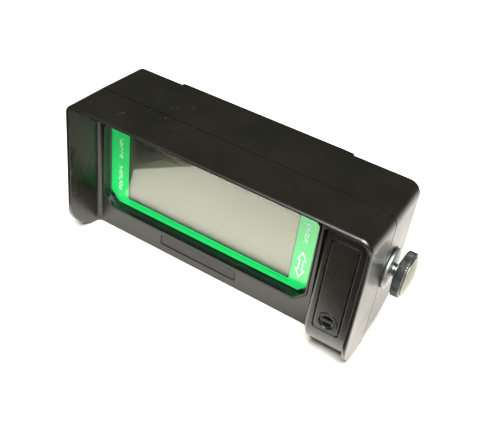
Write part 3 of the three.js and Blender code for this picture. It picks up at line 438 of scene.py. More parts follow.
legend_dark = uneven_finish(
    "screen_printed_dark_green", ("#0a3a1c", "#0d4521"), (0.45, 0.6), 0.3, 0.002, 12.0, IOR=1.45)

display_grey = uneven_finish(
    "reflective_display", ("#7a776b", "#838074"), (0.24, 0.27), 0.5, 0.0, 60.0, IOR=1.5, Metallic=0.85)

light_acrylic = uneven_finish(
    "frosted_acrylic", ("#dfe6d6", "#edf2e6"), (0.3, 0.45), 0.4, 0.004, 20.0, IOR=1.49)

# %% [markdown]
# ## Finishes inside the housing
# The boards are glass-fibre laminate under green solder mask. Copper tracks show through the mask
# as slightly raised lines, here a brick pattern of tracks 0.5 mm apart. Chips are black epoxy,
# capacitors have a printed sleeve, and the seal is foamed rubber.

# %% Boards, chips, sleeves and foam
board_green, tree, shader = start_finish("green_solder_mask", IOR=1.52)
where, tint = uneven(tree, shader, ("#0f3d22", "#14502c"), (0.25, 0.4), 0.8, 0.01, 14.0)
flat = node(tree, "ShaderNodeSeparateXYZ", {"Vector": where})
upright = node(tree, "ShaderNodeCombineXYZ", {"X": flat.outputs["X"], "Y": flat.outputs["Z"]})
tracks = node(tree, "ShaderNodeTexBrick", {
    "Vector": upright.outputs[0], "Scale": 1000.0, "Mortar Size": 0.12, "Brick Width": 5.0, "Row Height": 1.0,
    "Color1": linear("#1c6a3a"), "Color2": linear("#185c32"), "Mortar": linear("#0f3d22")})
copper = node(tree, "ShaderNodeMix", {"Factor": 0.5, "A": tint.outputs["Color"], "B": tracks.outputs["Color"]},
              data_type="RGBA")
tree.links.new(copper.outputs["Result"], shader.inputs["Base Color"])

chip_epoxy = uneven_finish("black_epoxy", ("#151517", "#1d1d20"), (0.5, 0.65), 0.2, 0.01, 6.0, IOR=1.55)

sleeve_grey = uneven_finish("shrink_sleeve", ("#252a33", "#303642"), (0.28, 0.42), 0.6, 0.004, 5.0, IOR=1.5)

foam_rubber = uneven_finish("foamed_rubber", ("#141414", "#222222"), (0.8, 0.95), 0.5, 0.12, 6.0, IOR=1.5)

insulator_blue = uneven_finish(
    "glass_filled_nylon", ("#171d26", "#202936"), (0.4, 0.55), 0.3, 0.01, 6.0, IOR=1.53)

pot_blue = uneven_finish("blue_thermoset", ("#214078", "#2c5190"), (0.35, 0.5), 0.4, 0.008, 5.0, IOR=1.55)
print(len(bpy.data.materials), "finishes")

# %% [markdown]
# ## The front shell
# The front shell is one moulding: a hood whose roof thickens towards the window panel, a wing on
# the left, a pillar on the right, and a skirt that curves under in an arc of 26 mm. It is cut from
# one block the way a pattern maker would: first the outer form, then the hollow under the hood,
# the recess in front of the pillar, the inside, and last the small pockets.

# %% The outer form
RIM_R = 2.4


def case_outline(inset=0.0):
    return rounded_rectangle(inset, WIDTH - inset, inset, HEIGHT - inset, CORNER_R - inset, FOOT_R - inset,
                             CORNER_LEFT_R - inset)


def case_ring(y, inset):
    return [(x, y, z) for x, z in case_outline(inset)]


def skirt_line(inset, back, steps=36):
    """The front's side view at a distance inside its skin: down the face, then round the arc."""
    radius = SKIRT_R - inset
    reach = math.acos((SKIRT_R - back) / radius)
    points = [(inset, HEIGHT + 5)]
    for i in range(steps + 1):
        angle = math.pi + reach * i / steps
        points.append((SKIRT_R + radius * math.cos(angle), SKIRT_R + radius * math.sin(angle)))
    return points


def behind_skirt(name, inset, x0, x1):
    line = skirt_line(inset, SKIRT_R)
    return prism(name, line + [(CASE_DEPTH, inset), (CASE_DEPTH, HEIGHT + 5)], "x", x0, x1)


rim = [case_ring(RIM_R * ahead, RIM_R * inward) for inward, ahead in quarter()]
front = skin("front_shell_fine", rim[::-1] + [case_ring(FRONT_END, 0)])
print("front shell begins with", len(rim), "rings round its rim")
combine(front, "INTERSECT", behind_skirt("skirt", 0, -1, WIDTH + 1))

# %% [markdown]
# The hollow under the hood has one sloping top, so its roof is thin at the rim and thick at the
# root. A fillet of 3 mm runs down the corner between the wing and the panel.

# %% The hollow under the hood
HOOD_RIM_T, HOOD_ROOT_T = 1.4, 5.2
WING_RIM_T, WING_ROOT_T, WING_FILLET = 3.4, 5.4, 3.0


def hood_underside(y):
    return HEIGHT - HOOD_RIM_T - (HOOD_ROOT_T - HOOD_RIM_T) * y / PANEL_Y


plan = [(WING_RIM_T, -1), (PILLAR_X, -1), (PILLAR_X, PANEL_Y)]
plan += [(WING_ROOT_T + WING_FILLET * ahead, PANEL_Y - WING_FILLET * inward) for inward, ahead in quarter()]
plan.append((WING_RIM_T, 0))
hollow = skin("hollow", [[(x, y, -1) for x, y in plan], [(x, y, hood_underside(y)) for x, y in plan]])
combine(front, "DIFFERENCE", hollow)

# %% [markdown]
# The pillar's face lies 3 mm behind the rim and follows the skirt's arc. Its left edge is rounded
# to 2.4 mm, all the way down the curve. So the cutter is a skin through side views: each one is set
# in by a little less than the last, until the face is reached.

# %% The recess in front of the pillar
PILLAR_EDGE_R = 2.4
stations = [(PILLAR_X - 1, PILLAR_FACE + PILLAR_EDGE_R)]
stations += [(PILLAR_X + PILLAR_EDGE_R * inward, PILLAR_FACE + PILLAR_EDGE_R * ahead)
             for inward, ahead in quarter()]
stations.append((WIDTH, PILLAR_FACE))
rings = []
for x, inset in stations:
    side_view = skirt_line(inset, PANEL_Y)
    rings.append([(x, y, z) for y, z in side_view + [(PANEL_Y, -30), (-1, -30), (-1, HEIGHT + 5)]])
recess = skin("recess", rings)
column = slab("column", (PILLAR_X - 2, WIDTH - RIM_T), (-20, HEIGHT - RIM_T), (-2, PANEL_Y), CORNER_R - RIM_T)
combine(recess, "INTERSECT", column)
combine(front, "DIFFERENCE", recess)

# %% [markdown]
# The window is an octagon, and three shallow pockets take the reveal, the long panel on the pillar
# and the plate on the chin. Their rims are eased together with the outer edges. The inside and its
# small bosses come after the bevel, because a rounding wider than a peg would tear it.

# %% Window opening and pockets
WINDOW_X = (9.5, 161.0)
WINDOW_Z = (16.4, 81.0)
WINDOW_MID_X = sum(WINDOW_X) / 2
REVEAL_GAP = 1.35
INSERT_HALF, INSERT_Z, INSERT_GAP = 7.75, (25.55, 87.85), 0.55
CHIN_HALF, CHIN_Z, CHIN_GAP = 28.2, (6.05, 12.75), 0.3
INSERT_BACK, CHIN_BACK = 4.2, 26.4
CONTROL_Z = 33.1


def octagon(grow):
    (x0, x1), (z0, z1) = WINDOW_X, WINDOW_Z
    x0, x1, z0, z1, c = x0 - grow, x1 + grow, z0 - grow, z1 + grow, 7.2 + grow * 0.4
    return [(x0 + c, z0), (x1 - c, z0), (x1, z0 + c), (x1, z1 - c),
            (x1 - c, z1), (x0 + c, z1), (x0, z1 - c), (x0, z0 + c)]


def rod(name, radius, centre, length, axis=(0, 1, 0), segments=32):
    return turned(name, [(0, 0), (radius, 0), (radius, length), (0, length)], centre, axis, segments)


combine(front, "DIFFERENCE",
        prism("window_hole", octagon(REVEAL_GAP), "y", PANEL_Y - 1, PANEL_BACK + 6),
        slab("insert_pocket", about(PILLAR_MID, INSERT_HALF + INSERT_GAP),
             (INSERT_Z[0] - INSERT_GAP, INSERT_Z[1] + INSERT_GAP), (0, INSERT_BACK), 2.5, steps=6),
        slab("plate_pocket", about(WINDOW_MID_X, CHIN_HALF + CHIN_GAP),
             (CHIN_Z[0] - CHIN_GAP, CHIN_Z[1] + CHIN_GAP), (PANEL_Y - 2, CHIN_BACK), 0.8, steps=4))
rounded(front, 0.45)
for corner in front.data.vertices:    # the bevel throws one corner out past the rim; it is pulled back
    corner.co.y = max(corner.co.y, 0.0)

# %% The inside, its bosses and pegs
LCD_BOARD_Y, LCD_BOARD_BACK, MAIN_BOARD_BACK = 41.55, 43.15, 53.55
BOARD_BOSSES = [(x, z) for x in (24.0, 146.0) for z in (10.6, 86.8)]
CASE_BOSSES = [(x, z) for x in (8.0, 192.0) for z in (15.0, 88.0)]
CASE_BOSS_END, PEG_RISE = 36.0, 11
REBATE_WALL, REBATE_DEPTH = 1.5, 3.3
ceiling = HEIGHT - HOOD_ROOT_T + 1

inside = slab("inside", (WALL, WIDTH - WALL), (WALL, ceiling), (PANEL_BACK, FRONT_END + 1),
              CORNER_R - WALL, FOOT_R - WALL, CORNER_LEFT_R - WALL)
pillar_inside = slab("pillar_inside", (PILLAR_X + WALL, WIDTH - WALL - 0.6), (-20, ceiling),
                     (0, FRONT_END + 1), 4)
combine(pillar_inside, "INTERSECT", behind_skirt("inner_skirt", PILLAR_FACE + 2.8, 0, WIDTH))
rebate = prism("rebate", case_outline(REBATE_WALL), "y", FRONT_END - REBATE_DEPTH, FRONT_END + 1)
combine(front, "DIFFERENCE", inside, pillar_inside, rebate)

boss_root = PANEL_BACK - 0.4
bosses = [rod("boss", 2.7, (x, boss_root, z), LCD_BOARD_Y - 0.1 - boss_root) for x, z in BOARD_BOSSES]
for x, z in CASE_BOSSES:
    root = PILLAR_FACE + 1 if x > PILLAR_X else PANEL_Y + 1
    column = rod("boss", 3.2, (x, root, z), CASE_BOSS_END - root)
    bosses.append(combine(column, "INTERSECT", behind_skirt("limit", PILLAR_FACE + 1, 0, WIDTH)))
for x in about(PILLAR_MID, 5):
    bosses.append(rod("peg_foot", 1.8, (x, 5.2, CONTROL_Z + PEG_RISE), 8.9))
    bosses.append(rod("peg", 1.0, (x, 5.2, CONTROL_Z + PEG_RISE), 11.4, segments=20))
combine(front, "UNION", *bosses)
holes = [rod("pilot", 1.35, (x, LCD_BOARD_Y - 9, z), 12, segments=20) for x, z in BOARD_BOSSES]
holes += [rod("pilot", 1.65, (x, CASE_BOSS_END - 8, z), 10, segments=20) for x, z in CASE_BOSSES]
holes.append(rod("control_hole", 5.2, (PILLAR_MID, 0, CONTROL_Z), 6.4, segments=48))
combine(front, "DIFFERENCE", *holes)
finished(front, shell_black, "housing", ["front_shell"])

# %% [markdown]
# ## The rear shell
# The rear shell is a tapering tub: its sides draw in by 1 mm so that it leaves the mould, and its
# underside climbs by 6.5 mm towards the back. It is a skin through outlines, with a quarter round
# of 2.4 mm at the back edge. A thin tongue reaches forward into the front shell across the seam.

# %% The tub
REAR_EDGE = 2.4
REAR_DRAFT, REAR_STEP, REAR_RISE, REAR_CROWN = 1.0, 2.9, 6.5, 0.1
PIVOT_Y, PIVOT_Z = 44.0, 53.0


def rear_outline(y, inset):
    t = (y - REAR_START) / (CASE_DEPTH - REAR_START)
    side = REAR_DRAFT * t + inset
    low, high = REAR_STEP + REAR_RISE * t + inset, HEIGHT - REAR_CROWN * t - inset
    return rounded_rectangle(side, WIDTH - side, low, high,
                             CORNER_R - inset, max(FOOT_R - inset, 1.4), CORNER_LEFT_R - inset)


def ring_at(y, inset):
    return [(x, y, z) for x, z in rear_outline(y, inset)]


sections = [ring_at(REAR_START, 0.3), ring_at(REAR_START + 0.1, 0.1), ring_at(REAR_START + 0.35, 0)]
for inward, ahead in quarter():
    edge_line = rear_outline(CASE_DEPTH - REAR_EDGE, REAR_EDGE * inward)
    sections.append([(x, CASE_DEPTH - REAR_EDGE * ahead, z) for x, z in edge_line])
rear = skin("rear_shell_fine", sections)

# %% [markdown]
# A ledge stands out along the top of the back, with sloping ends. A shape with one outline from
# above and another from the side is where two prisms overlap, so it is made by intersecting them.

# %% The ledge and the two side seats
LEDGE_T, LEDGE_Z, LEDGE_ROOT = 2.1, 82.0, 2.0
LEDGE_LEFT, LEDGE_RIGHT = (36, 46), (139, 156)
SIDES = {"left": (-1, 0.0), "right": (1, WIDTH)}
SEAT_R = 13

root, back, top = CASE_DEPTH - LEDGE_ROOT, CASE_DEPTH + LEDGE_T, HEIGHT - REAR_CROWN
from_side = [(root, LEDGE_Z), (CASE_DEPTH, LEDGE_Z), (back, LEDGE_Z + LEDGE_T)]
from_side += [(back - REAR_EDGE * inward, top - REAR_EDGE * ahead) for inward, ahead in quarter()]
from_side.append((root, top))
from_above = [(LEDGE_LEFT[0], root), (LEDGE_RIGHT[1], root), (LEDGE_RIGHT[1], CASE_DEPTH),
              (LEDGE_RIGHT[0], back), (LEDGE_LEFT[1], back), (LEDGE_LEFT[0], CASE_DEPTH)]
ledge = prism("ledge", from_above, "z", LEDGE_Z, HEIGHT)
combine(ledge, "INTERSECT", prism("ledge_side", from_side, "x", 0, WIDTH))
combine(rear, "UNION", ledge)
for tag, (out, face) in SIDES.items():
    seat = turned("seat", softened([(0, -WALL), (SEAT_R, -WALL), (SEAT_R, 0), (0, 0)], 0.3),
                  (face, PIVOT_Y, PIVOT_Z), (out, 0, 0), 72)
    seat = combine(seat, "DIFFERENCE", block("clear", (-5, 0, 0), (WIDTH + 5, REAR_START, HEIGHT)))
    combine(rear, "UNION", seat)
combine(rear, "DIFFERENCE", skin("tub", [ring_at(REAR_START - 1, WALL), ring_at(CASE_DEPTH - WALL, WALL)]))
print("rear shell with its ledge and seats:", len(rear.data.polygons), "faces")

# %% Tongue, bosses and holes
gap = REBATE_WALL + 0.15
tongue = slab("tongue", (gap, WIDTH - gap), (3.8, HEIGHT - gap), (FRONT_END - 3, REAR_START + 1.5),
              CORNER_R - gap, FOOT_R - gap, CORNER_LEFT_R - gap)
combine(tongue, "DIFFERENCE", prism("tongue_inside", rear_outline(REAR_START, WALL), "y", 20, 40))
added = [tongue]
for tag, (out, face) in SIDES.items():
    added.append(rod("pivot_boss", 8.0, (face - out, PIVOT_Y, PIVOT_Z), 9.5, (-out, 0, 0), 48))
for x, z in CASE_BOSSES:
    column = rod("boss", 4.2, (x, CASE_BOSS_END + 0.3, z), CASE_DEPTH - WALL - CASE_BOSS_END + 0.3)
    limit = skin("limit", [ring_at(REAR_START, 0.5), ring_at(CASE_DEPTH, 0.5)])
    added.append(combine(column, "INTERSECT", limit))
combine(rear, "UNION", *added)

plug_low, plug_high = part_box("connector_shell")
CONNECTOR_X, CONNECTOR_Z = [(plug_low[i] + plug_high[i]) * 500 - 1000 * HOUSING_CORNER[i] for i in (0, 2)]
cuts = []
for tag, (out, face) in SIDES.items():
    mouth = (face + out, PIVOT_Y, PIVOT_Z)
    cuts.append(rod("insert_hole", 6.1, mouth, 10.1, (-out, 0, 0), 48))
    cuts.append(rod("stud_hole", 5.0, mouth, 13, (-out, 0, 0), 48))
    cuts.append(rod("jack_hole", 1.8, (CONNECTOR_X + out * 16.65, CASE_DEPTH - WALL - 1, CONNECTOR_Z), 5))
for x, z in CASE_BOSSES:
    cuts.append(rod("screw_hole", 1.8, (x, 31, z), 60, segments=24))
    cuts.append(turned("head_hole", [(0, 0), (2.9, 0), (2.9, 8.4), (3.6, 9.4), (0, 9.4)],
                       (x, CASE_DEPTH - 9, z), (0, 1, 0), 40))
cuts.append(slab("connector_hole", about(CONNECTOR_X, 13.2), about(CONNECTOR_Z, 5.4),
                 (CASE_DEPTH - 9, CASE_DEPTH + 1), 2, steps=5))
combine(rear, "DIFFERENCE", *cuts)
finished(rear, shell_black, "housing", ["rear_shell"])

# %% [markdown]
# ## The window's reveal
# The reveal is a separate glossy frame that lines the octagon. Its section is a lip in front, a
# flange behind the panel and a small ledge against the glass. Sweeping that section round the
# octagon by hand keeps its width true at every mitre, which a curve's own sweep doesn't.

# %% The reveal
section = softened([
    (0.0, 24.9), (1.2, 24.9), (1.2, 27.7), (2.6, 27.7), (2.6, 29.0), (1.2, 29.0),
    (1.2, 32.1), (-0.6, 32.1), (-0.6, 31.2), (0.0, 31.0), (0.0, 24.9)], 0.3, 3)
rings = [[(x, y, z) for x, z in octagon(grow)] for grow, y in section[:-1]]
reveal = skin("window_reveal", rings, looped=True)
finished(reveal, bezel_black, "housing", ["window_bezel"], 44)

# %% [markdown]
# ## Print on the green border
# The real border carries short words and a scroll arrow. Words aren't copied: rows of plain blocks
# stand where they were. A Geometry Nodes tree lays the blocks on a grid, drops some at random
# from a fixed seed, and gives them their ink, so each row is one instruction with its own sizes.

# %% A tree that prints rows of blocks
def group_tree(name, inputs):
    tree = bpy.data.node_groups.new(name, "GeometryNodeTree")
    tree.interface.new_socket("Geometry", in_out="INPUT", socket_type="NodeSocketGeometry")
    keys = {}
    for label, kind, value in inputs:
        socket = tree.interface.new_socket(label, in_out="INPUT", socket_type="NodeSocket" + kind)
        if value is not None:
            socket.default_value = value
        keys[label] = socket.identifier
    tree.interface.new_socket("Geometry", in_out="OUTPUT", socket_type="NodeSocketGeometry")
    return tree, keys, tree.nodes.new("NodeGroupInput").outputs


def run_tree(name, tree, keys, values, host=None):
    """The tree's result as a plain mesh object, with the modifier gone."""
    made = host or bpy.data.objects.new(name, bpy.data.meshes.new(name))
    if host is None:
        bpy.context.scene.collection.objects.link(made)
    step = made.modifiers.new(tree.name, "NODES")
    step.node_group = tree
    for label, value in values.items():
        step[keys[label]] = value
    keep_result(made)
    made.name = name
    return made


def finish_tree(tree, geometry, material):
    real = node(tree, "GeometryNodeRealizeInstances", {"Geometry": geometry})
    inked = node(tree, "GeometryNodeSetMaterial", {"Geometry": real.outputs[0], "Material": material})
    node(tree, "NodeGroupOutput", {"Geometry": inked.outputs[0]})


print_rows, print_keys, given = group_tree("printed_blocks", [
    ("Length", "Float", 10.0), ("Width", "Float", 2.4), ("Columns", "Int", 8), ("Rows", "Int", 3),
    ("Stroke", "Float", 0.5), ("Depth", "Float", 0.03), ("Kept", "Float", 0.75), ("Seed", "Int", 1),
    ("Ink", "Material", None)])
grid = node(print_rows, "GeometryNodeMeshGrid", {"Size X": given["Width"], "Size Y": given["Length"],
                                                 "Vertices X": given["Rows"], "Vertices Y": given["Columns"]})
chance = node(print_rows, "FunctionNodeRandomValue", {"Probability": given["Kept"], "Seed": given["Seed"]},
              data_type="BOOLEAN")
mark_size = node(print_rows, "ShaderNodeCombineXYZ", {"X": given["Stroke"], "Y": given["Stroke"],
                                                      "Z": given["Depth"]})
mark = node(print_rows, "GeometryNodeMeshCube", {"Size": mark_size.outputs[0]})
stretch = node(print_rows, "FunctionNodeRandomValue", {"Min": (0.9, 0.9, 1.0), "Max": (1.5, 1.9, 1.0),
                                                       "Seed": given["Seed"]}, data_type="FLOAT_VECTOR")
laid = node(print_rows, "GeometryNodeInstanceOnPoints", {
    "Points": grid.outputs["Mesh"], "Instance": mark.outputs["Mesh"], "Selection": chance.outputs[3],
    "Scale": stretch.outputs[0]})
finish_tree(print_rows, laid.outputs[0], given["Ink"])

PRINT_Y = 34.025


def turn_to_window(made, x, z):
    """A flat print drawn in x and y, stood up behind the glass with its middle at x and z."""
    made.data.transform(Matrix.Translation((x, PRINT_Y, z)) @ Matrix.Rotation(math.radians(90), 4, "X"))
    made.data.transform(TO_FRAME)
    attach(made, "housing")
    return made


for name, x, z0, z1, columns, seed in [
        ("print_left_lower", 16.8, 25.2, 43.8, 16, 3),
        ("print_left_upper", 16.8, 51.2, 64.8, 12, 8),
        ("print_right", 151.8, 52.6, 65.4, 11, 5)]:
    row = run_tree(name, print_rows, print_keys, {
        "Length": z1 - z0, "Width": 1.9, "Columns": columns, "Rows": 3, "Stroke": 0.55, "Kept": 0.72,
        "Seed": seed, "Ink": white_ink_painted_glow})
    turn_to_window(row, x, (z0 + z1) / 2)
    print(row.name, len(row.data.polygons), "faces")

# %% [markdown]
# The scroll sign is a plain two-headed arrow drawn as an even stroke. The stroke is the ring
# between the arrow's outline moved out and the same outline moved in. Two thin keylines, in dark
# ink, frame the display and run along the bottom of the border.

# %% Arrow and keylines
def moved_outline(points, distance):
    """A closed outline with every side moved outwards by the distance, mitred at the corners."""
    count = len(points)
    result = []
    for i in range(count):
        a, b, c = (Vector(points[k % count]) for k in (i - 1, i, i + 1))
        n1 = Vector(((b - a).y, (a - b).x)).normalized()
        n2 = Vector(((c - b).y, (b - c).x)).normalized()
        middle = (n1 + n2).normalized()
        result.append(tuple(b + middle * distance / max(middle.dot(n1), 0.35)))
    return result


def stroke(name, outline, width, ink, x=0.0, z=0.0, depth=0.03):
    outer, inner = moved_outline(outline, width / 2), moved_outline(outline, -width / 2)
    rings = [[(a, b, d) for a, b in line] for line, d in
             ((outer, depth / 2), (inner, depth / 2), (inner, -depth / 2), (outer, -depth / 2))]
    made = skin(name, rings, looped=True)
    made.data.materials.append(ink)
    return turn_to_window(made, x, z)


half = [(1.2, 3.6), (2.9, 3.6), (0.0, 9.4), (-2.9, 3.6), (-1.2, 3.6)]
arrow = [(-x, -z) for x, z in half] + half
arrow = arrow[5:] + arrow[:5]
stroke("print_scroll_sign", arrow, 0.62, white_ink_painted_glow, 151.8, 35.0)
frame_line = rounded_rectangle(23.65, 145.65, 21.6, 75.8, 0.5, steps=4)
stroke("print_display_keyline", frame_line, 0.55, legend_dark)
stroke("print_border_keyline", [(25.0, 19.1), (147.0, 19.1), (147.0, 19.4), (25.0, 19.4)], 0.1, legend_dark)

# %% [markdown]
# ## The pillar's panel and the round control
# A long panel with rounded ends is let into the pillar. The groove round it is a real gap, not a drawn line, so
# it fills with shadow. Near its foot sits a ring, and inside the ring a dished knob with a finger bar. The ring
# belongs to the housing. The knob rides on its own body, because the real knob turns.

# %% Panel, ring and knob
CONTROL_AT = (PILLAR_MID, 0, CONTROL_Z)
panel = slab("pillar_panel", about(PILLAR_MID, INSERT_HALF), INSERT_Z, (PILLAR_FACE, INSERT_BACK - 0.1), 2.3,
             steps=8)
rounded(panel, 0.4)
combine(panel, "DIFFERENCE", rod("ring_hole", 6.4, CONTROL_AT, 20, segments=64))
finished(panel, shell_black, "housing", ["pillar_insert"])

ring_profile = softened([
    (4.85, 4.1), (4.85, 3.1), (5.15, 2.7), (5.9, 2.7), (6.3, 3.05), (6.3, 4.1), (4.85, 4.1)], 0.15, 3)
ring = turned("control_ring_fine", ring_profile, CONTROL_AT, (0, 1, 0), 72)
finished(ring, plate_black, "housing", ["control_ring"])

dish = turned("dimmer_dial", softened([
    (0, 4.45), (2.4, 4.3), (3.9, 3.25), (4.55, 3.2), (4.6, 5.6), (1.5, 5.6), (1.5, 11.6), (0, 11.6)], 0.2, 3),
    CONTROL_AT, (0, 1, 0), 72)
bar = slab("bar", about(PILLAR_MID, 4.1), about(CONTROL_Z, 0.95), (3.15, 5.0), 0.9, steps=8)
rounded(bar, 0.22)
combine(bar, "DIFFERENCE", block("pointer", (PILLAR_MID - 2.9, 3.0, CONTROL_Z - 0.16),
                                 (PILLAR_MID + 2.9, 3.45, CONTROL_Z + 0.16)))
combine(dish, "UNION", bar)
finished(dish, bezel_black, "dimmer", ["dimmer_knob"])

# %% [markdown]
# ## Plates
# The chin has a shallow pocket with a blank plate. The rating plate on the back is thin aluminium
# with rounded corners and an embossed border; its fields are blank ruled boxes.

# %% Chin plate and rating plate
chin = slab("chin_plate", about(WINDOW_MID_X, CHIN_HALF), CHIN_Z, (25.6, CHIN_BACK - 0.05), 0.7, steps=6)
rounded(chin, 0.18)
finished(chin, plate_black, "housing", ["name_plate"])

rating_low, rating_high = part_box("rating_plate")
rx0, rz0 = ((rating_low[i] - HOUSING_CORNER[i]) * 1000 for i in (0, 2))
rx1, rz1 = ((rating_high[i] - HOUSING_CORNER[i]) * 1000 for i in (0, 2))
rating = slab("rating_plate_fine", (rx0, rx1), (rz0, rz1), (CASE_DEPTH + 0.02, CASE_DEPTH + 0.3), 1.5, steps=8)
FIELD_H, FIELD_STEP = 4.6, 5.4
feet = [rz0 + 2 + FIELD_STEP * k for k in range(4)]
fields = [block("field", (rx0 + 2, CASE_DEPTH + 0.24, z), (rx1 - 2, CASE_DEPTH + 0.5, z + FIELD_H)) for z in feet]
combine(rating, "DIFFERENCE", *fields)
rounded(rating, 0.05, 2)
finished(rating, brushed_aluminium, "housing", ["rating_plate"])

# %% [markdown]
# ## Screws by Geometry Nodes
# The same screw appears again and again, so it is modelled once and a node tree sets it on points.
# The host mesh holds nothing but the points. Instances are made real at the end, because the
# exporter drops instances, and the result is one plain mesh for each set.

# %% One screw, and the tree that repeats it
repeat_tree, repeat_keys, given = group_tree("repeat_on_points", [
    ("Piece", "Object", None), ("Seed", "Int", 4), ("Finish", "Material", None)])
source = node(repeat_tree, "GeometryNodeObjectInfo", {"Object": given["Piece"]})
turn = node(repeat_tree, "FunctionNodeRandomValue", {"Min": 0.0, "Max": 6.28, "Seed": given["Seed"]},
            data_type="FLOAT")
spin = node(repeat_tree, "ShaderNodeCombineXYZ", {"Y": turn.outputs[1]})
placed = node(repeat_tree, "GeometryNodeInstanceOnPoints", {
    "Points": given["Geometry"], "Instance": source.outputs["Geometry"], "Rotation": spin.outputs[0]})
finish_tree(repeat_tree, placed.outputs[0], given["Finish"])


def repeated(name, piece, points, ink, node_names, seed=4):
    mesh = bpy.data.meshes.new(name)
    mesh.from_pydata([tuple(p) for p in points], [], [])
    host = bpy.data.objects.new(name, mesh)
    bpy.context.scene.collection.objects.link(host)
    run_tree(name, repeat_tree, repeat_keys, {"Piece": piece, "Seed": seed, "Finish": ink}, host)
    return finished(host, ink, "housing", node_names)


def pan_screw(name, head_r, head_t, shank_r, length):
    screw = turned(name, softened([
        (0, -length), (shank_r * 0.6, -length), (shank_r, -length + 0.8), (shank_r, 0), (head_r, 0),
        (head_r, head_t * 0.55), (head_r * 0.62, head_t), (0, head_t)], 0.25, 4), (0, 0, 0), (0, 1, 0), 40)
    long, short = head_r * 0.58, head_r * 0.15
    combine(screw, "DIFFERENCE",
            block("slot", (-long, head_t * 0.45, -short), (long, head_t + 1, short)),
            block("slot", (-short, head_t * 0.45, -long), (short, head_t + 1, long)))
    return screw


board_screw = pan_screw("board_screw", 2.3, 1.5, 1.2, 8)
short_screw = pan_screw("short_screw", 2.3, 1.5, 1.2, 5)
case_screw = pan_screw("case_screw", 2.7, 2.0, 1.5, CASE_DEPTH - 9 - CASE_BOSS_END + 7)
SPACERS = [(x, z) for x in (18.5, 151.5) for z in (20.5, 78.5)]
repeated("case_screws", case_screw, [(x, CASE_DEPTH - 8.95, z) for x, z in CASE_BOSSES], zinc_plate,
         [f"case_screw_{i}" for i in range(1, 5)], 4)
repeated("lcd_board_screws", board_screw, [(x, LCD_BOARD_BACK + 0.05, z) for x, z in BOARD_BOSSES],
         zinc_plate, [f"lcd_board_screw_{i}" for i in range(1, 5)], 7)
repeated("main_board_screws", short_screw, [(x, MAIN_BOARD_BACK + 0.05, z) for x, z in SPACERS],
         zinc_plate, [f"main_board_screw_{i}" for i in range(1, 5)], 9)
for used in (board_screw, short_screw, case_screw):
    bpy.data.objects.remove(used)

# %% [markdown]
# ## Side hardware
# Each side has a bright washer, an M8 stud, a thrust washer and a thumb knob. Washers are turned
# profiles with rounded rims. The stud's thread is a helix with a pitch of 1.25 mm, swept by a node
# tree. The knob's rim is diamond knurled: two sets of small pyramids, half a step apart. A real
# knurl has a pitch of about 1 mm; it is drawn at 1.7 mm so that its diamonds can be told apart.

# %% The thread tree and the knurl tree
thread_tree, thread_keys, given = group_tree("screw_thread", [
    ("Radius", "Float", 3.6), ("Ridge", "Float", 0.4), ("Turns", "Float", 13.0), ("Length", "Float", 16.0),
    ("Finish", "Material", None)])
helix = node(thread_tree, "GeometryNodeCurveSpiral", {
    "Resolution": 28, "Rotations": given["Turns"], "Start Radius": given["Radius"],
    "End Radius": given["Radius"], "Height": given["Length"]})
crest = node(thread_tree, "GeometryNodeCurvePrimitiveCircle", {"Resolution": 6, "Radius": given["Ridge"]})
swept = node(thread_tree, "GeometryNodeCurveToMesh", {
    "Curve": helix.outputs[0], "Profile Curve": crest.outputs[0], "Fill Caps": True})
finish_tree(thread_tree, swept.outputs[0], given["Finish"])

knurl_tree, knurl_keys, given = group_tree("diamond_knurl", [
    ("Radius", "Float", 12.95), ("Width", "Float", 3.0), ("Columns", "Int", 86), ("Rows", "Int", 4),
    ("Tooth", "Float", 0.52), ("Height", "Float", 0.8), ("Finish", "Material", None)])
half_turn = node(knurl_tree, "ShaderNodeMath", {0: math.pi, 1: given["Columns"]}, operation="DIVIDE")
half_row = node(knurl_tree, "ShaderNodeMath", {0: given["Width"], 1: given["Rows"]}, operation="DIVIDE")
shorter = node(knurl_tree, "ShaderNodeMath", {0: given["Width"], 1: half_row.outputs[0]}, operation="SUBTRACT")
fewer = node(knurl_tree, "ShaderNodeMath", {0: given["Rows"], 1: 1.0}, operation="SUBTRACT")
outer_ring = node(knurl_tree, "GeometryNodeMeshCylinder", {
    "Vertices": given["Columns"], "Side Segments": given["Rows"], "Radius": given["Radius"],
    "Depth": given["Width"]}, fill_type="NONE")
inner_ring = node(knurl_tree, "GeometryNodeMeshCylinder", {
    "Vertices": given["Columns"], "Side Segments": fewer.outputs[0], "Radius": given["Radius"],
    "Depth": shorter.outputs[0]}, fill_type="NONE")
half_angle = node(knurl_tree, "ShaderNodeCombineXYZ", {"Z": half_turn.outputs[0]})
turned_ring = node(knurl_tree, "GeometryNodeTransform", {"Geometry": inner_ring.outputs["Mesh"],
                                                         "Rotation": half_angle.outputs[0]})
both = node(knurl_tree, "GeometryNodeJoinGeometry")
knurl_tree.links.new(outer_ring.outputs["Mesh"], both.inputs[0])
knurl_tree.links.new(turned_ring.outputs[0], both.inputs[0])
position = node(knurl_tree, "GeometryNodeInputPosition")
parts = node(knurl_tree, "ShaderNodeSeparateXYZ", {"Vector": position.outputs[0]})
bearing = node(knurl_tree, "ShaderNodeMath", {0: parts.outputs["Y"], 1: parts.outputs["X"]}, operation="ARCTAN2")
outward = node(knurl_tree, "ShaderNodeCombineXYZ", {"Y": math.pi / 2, "Z": bearing.outputs[0]})
tooth = node(knurl_tree, "GeometryNodeMeshCone", {
    "Vertices": 4, "Radius Top": 0.0, "Radius Bottom": given["Tooth"], "Depth": given["Height"]})
cut_teeth = node(knurl_tree, "GeometryNodeInstanceOnPoints", {
    "Points": both.outputs[0], "Instance": tooth.outputs["Mesh"], "Rotation": outward.outputs[0],
    "Scale": (0.82, 1.0, 1.0)})
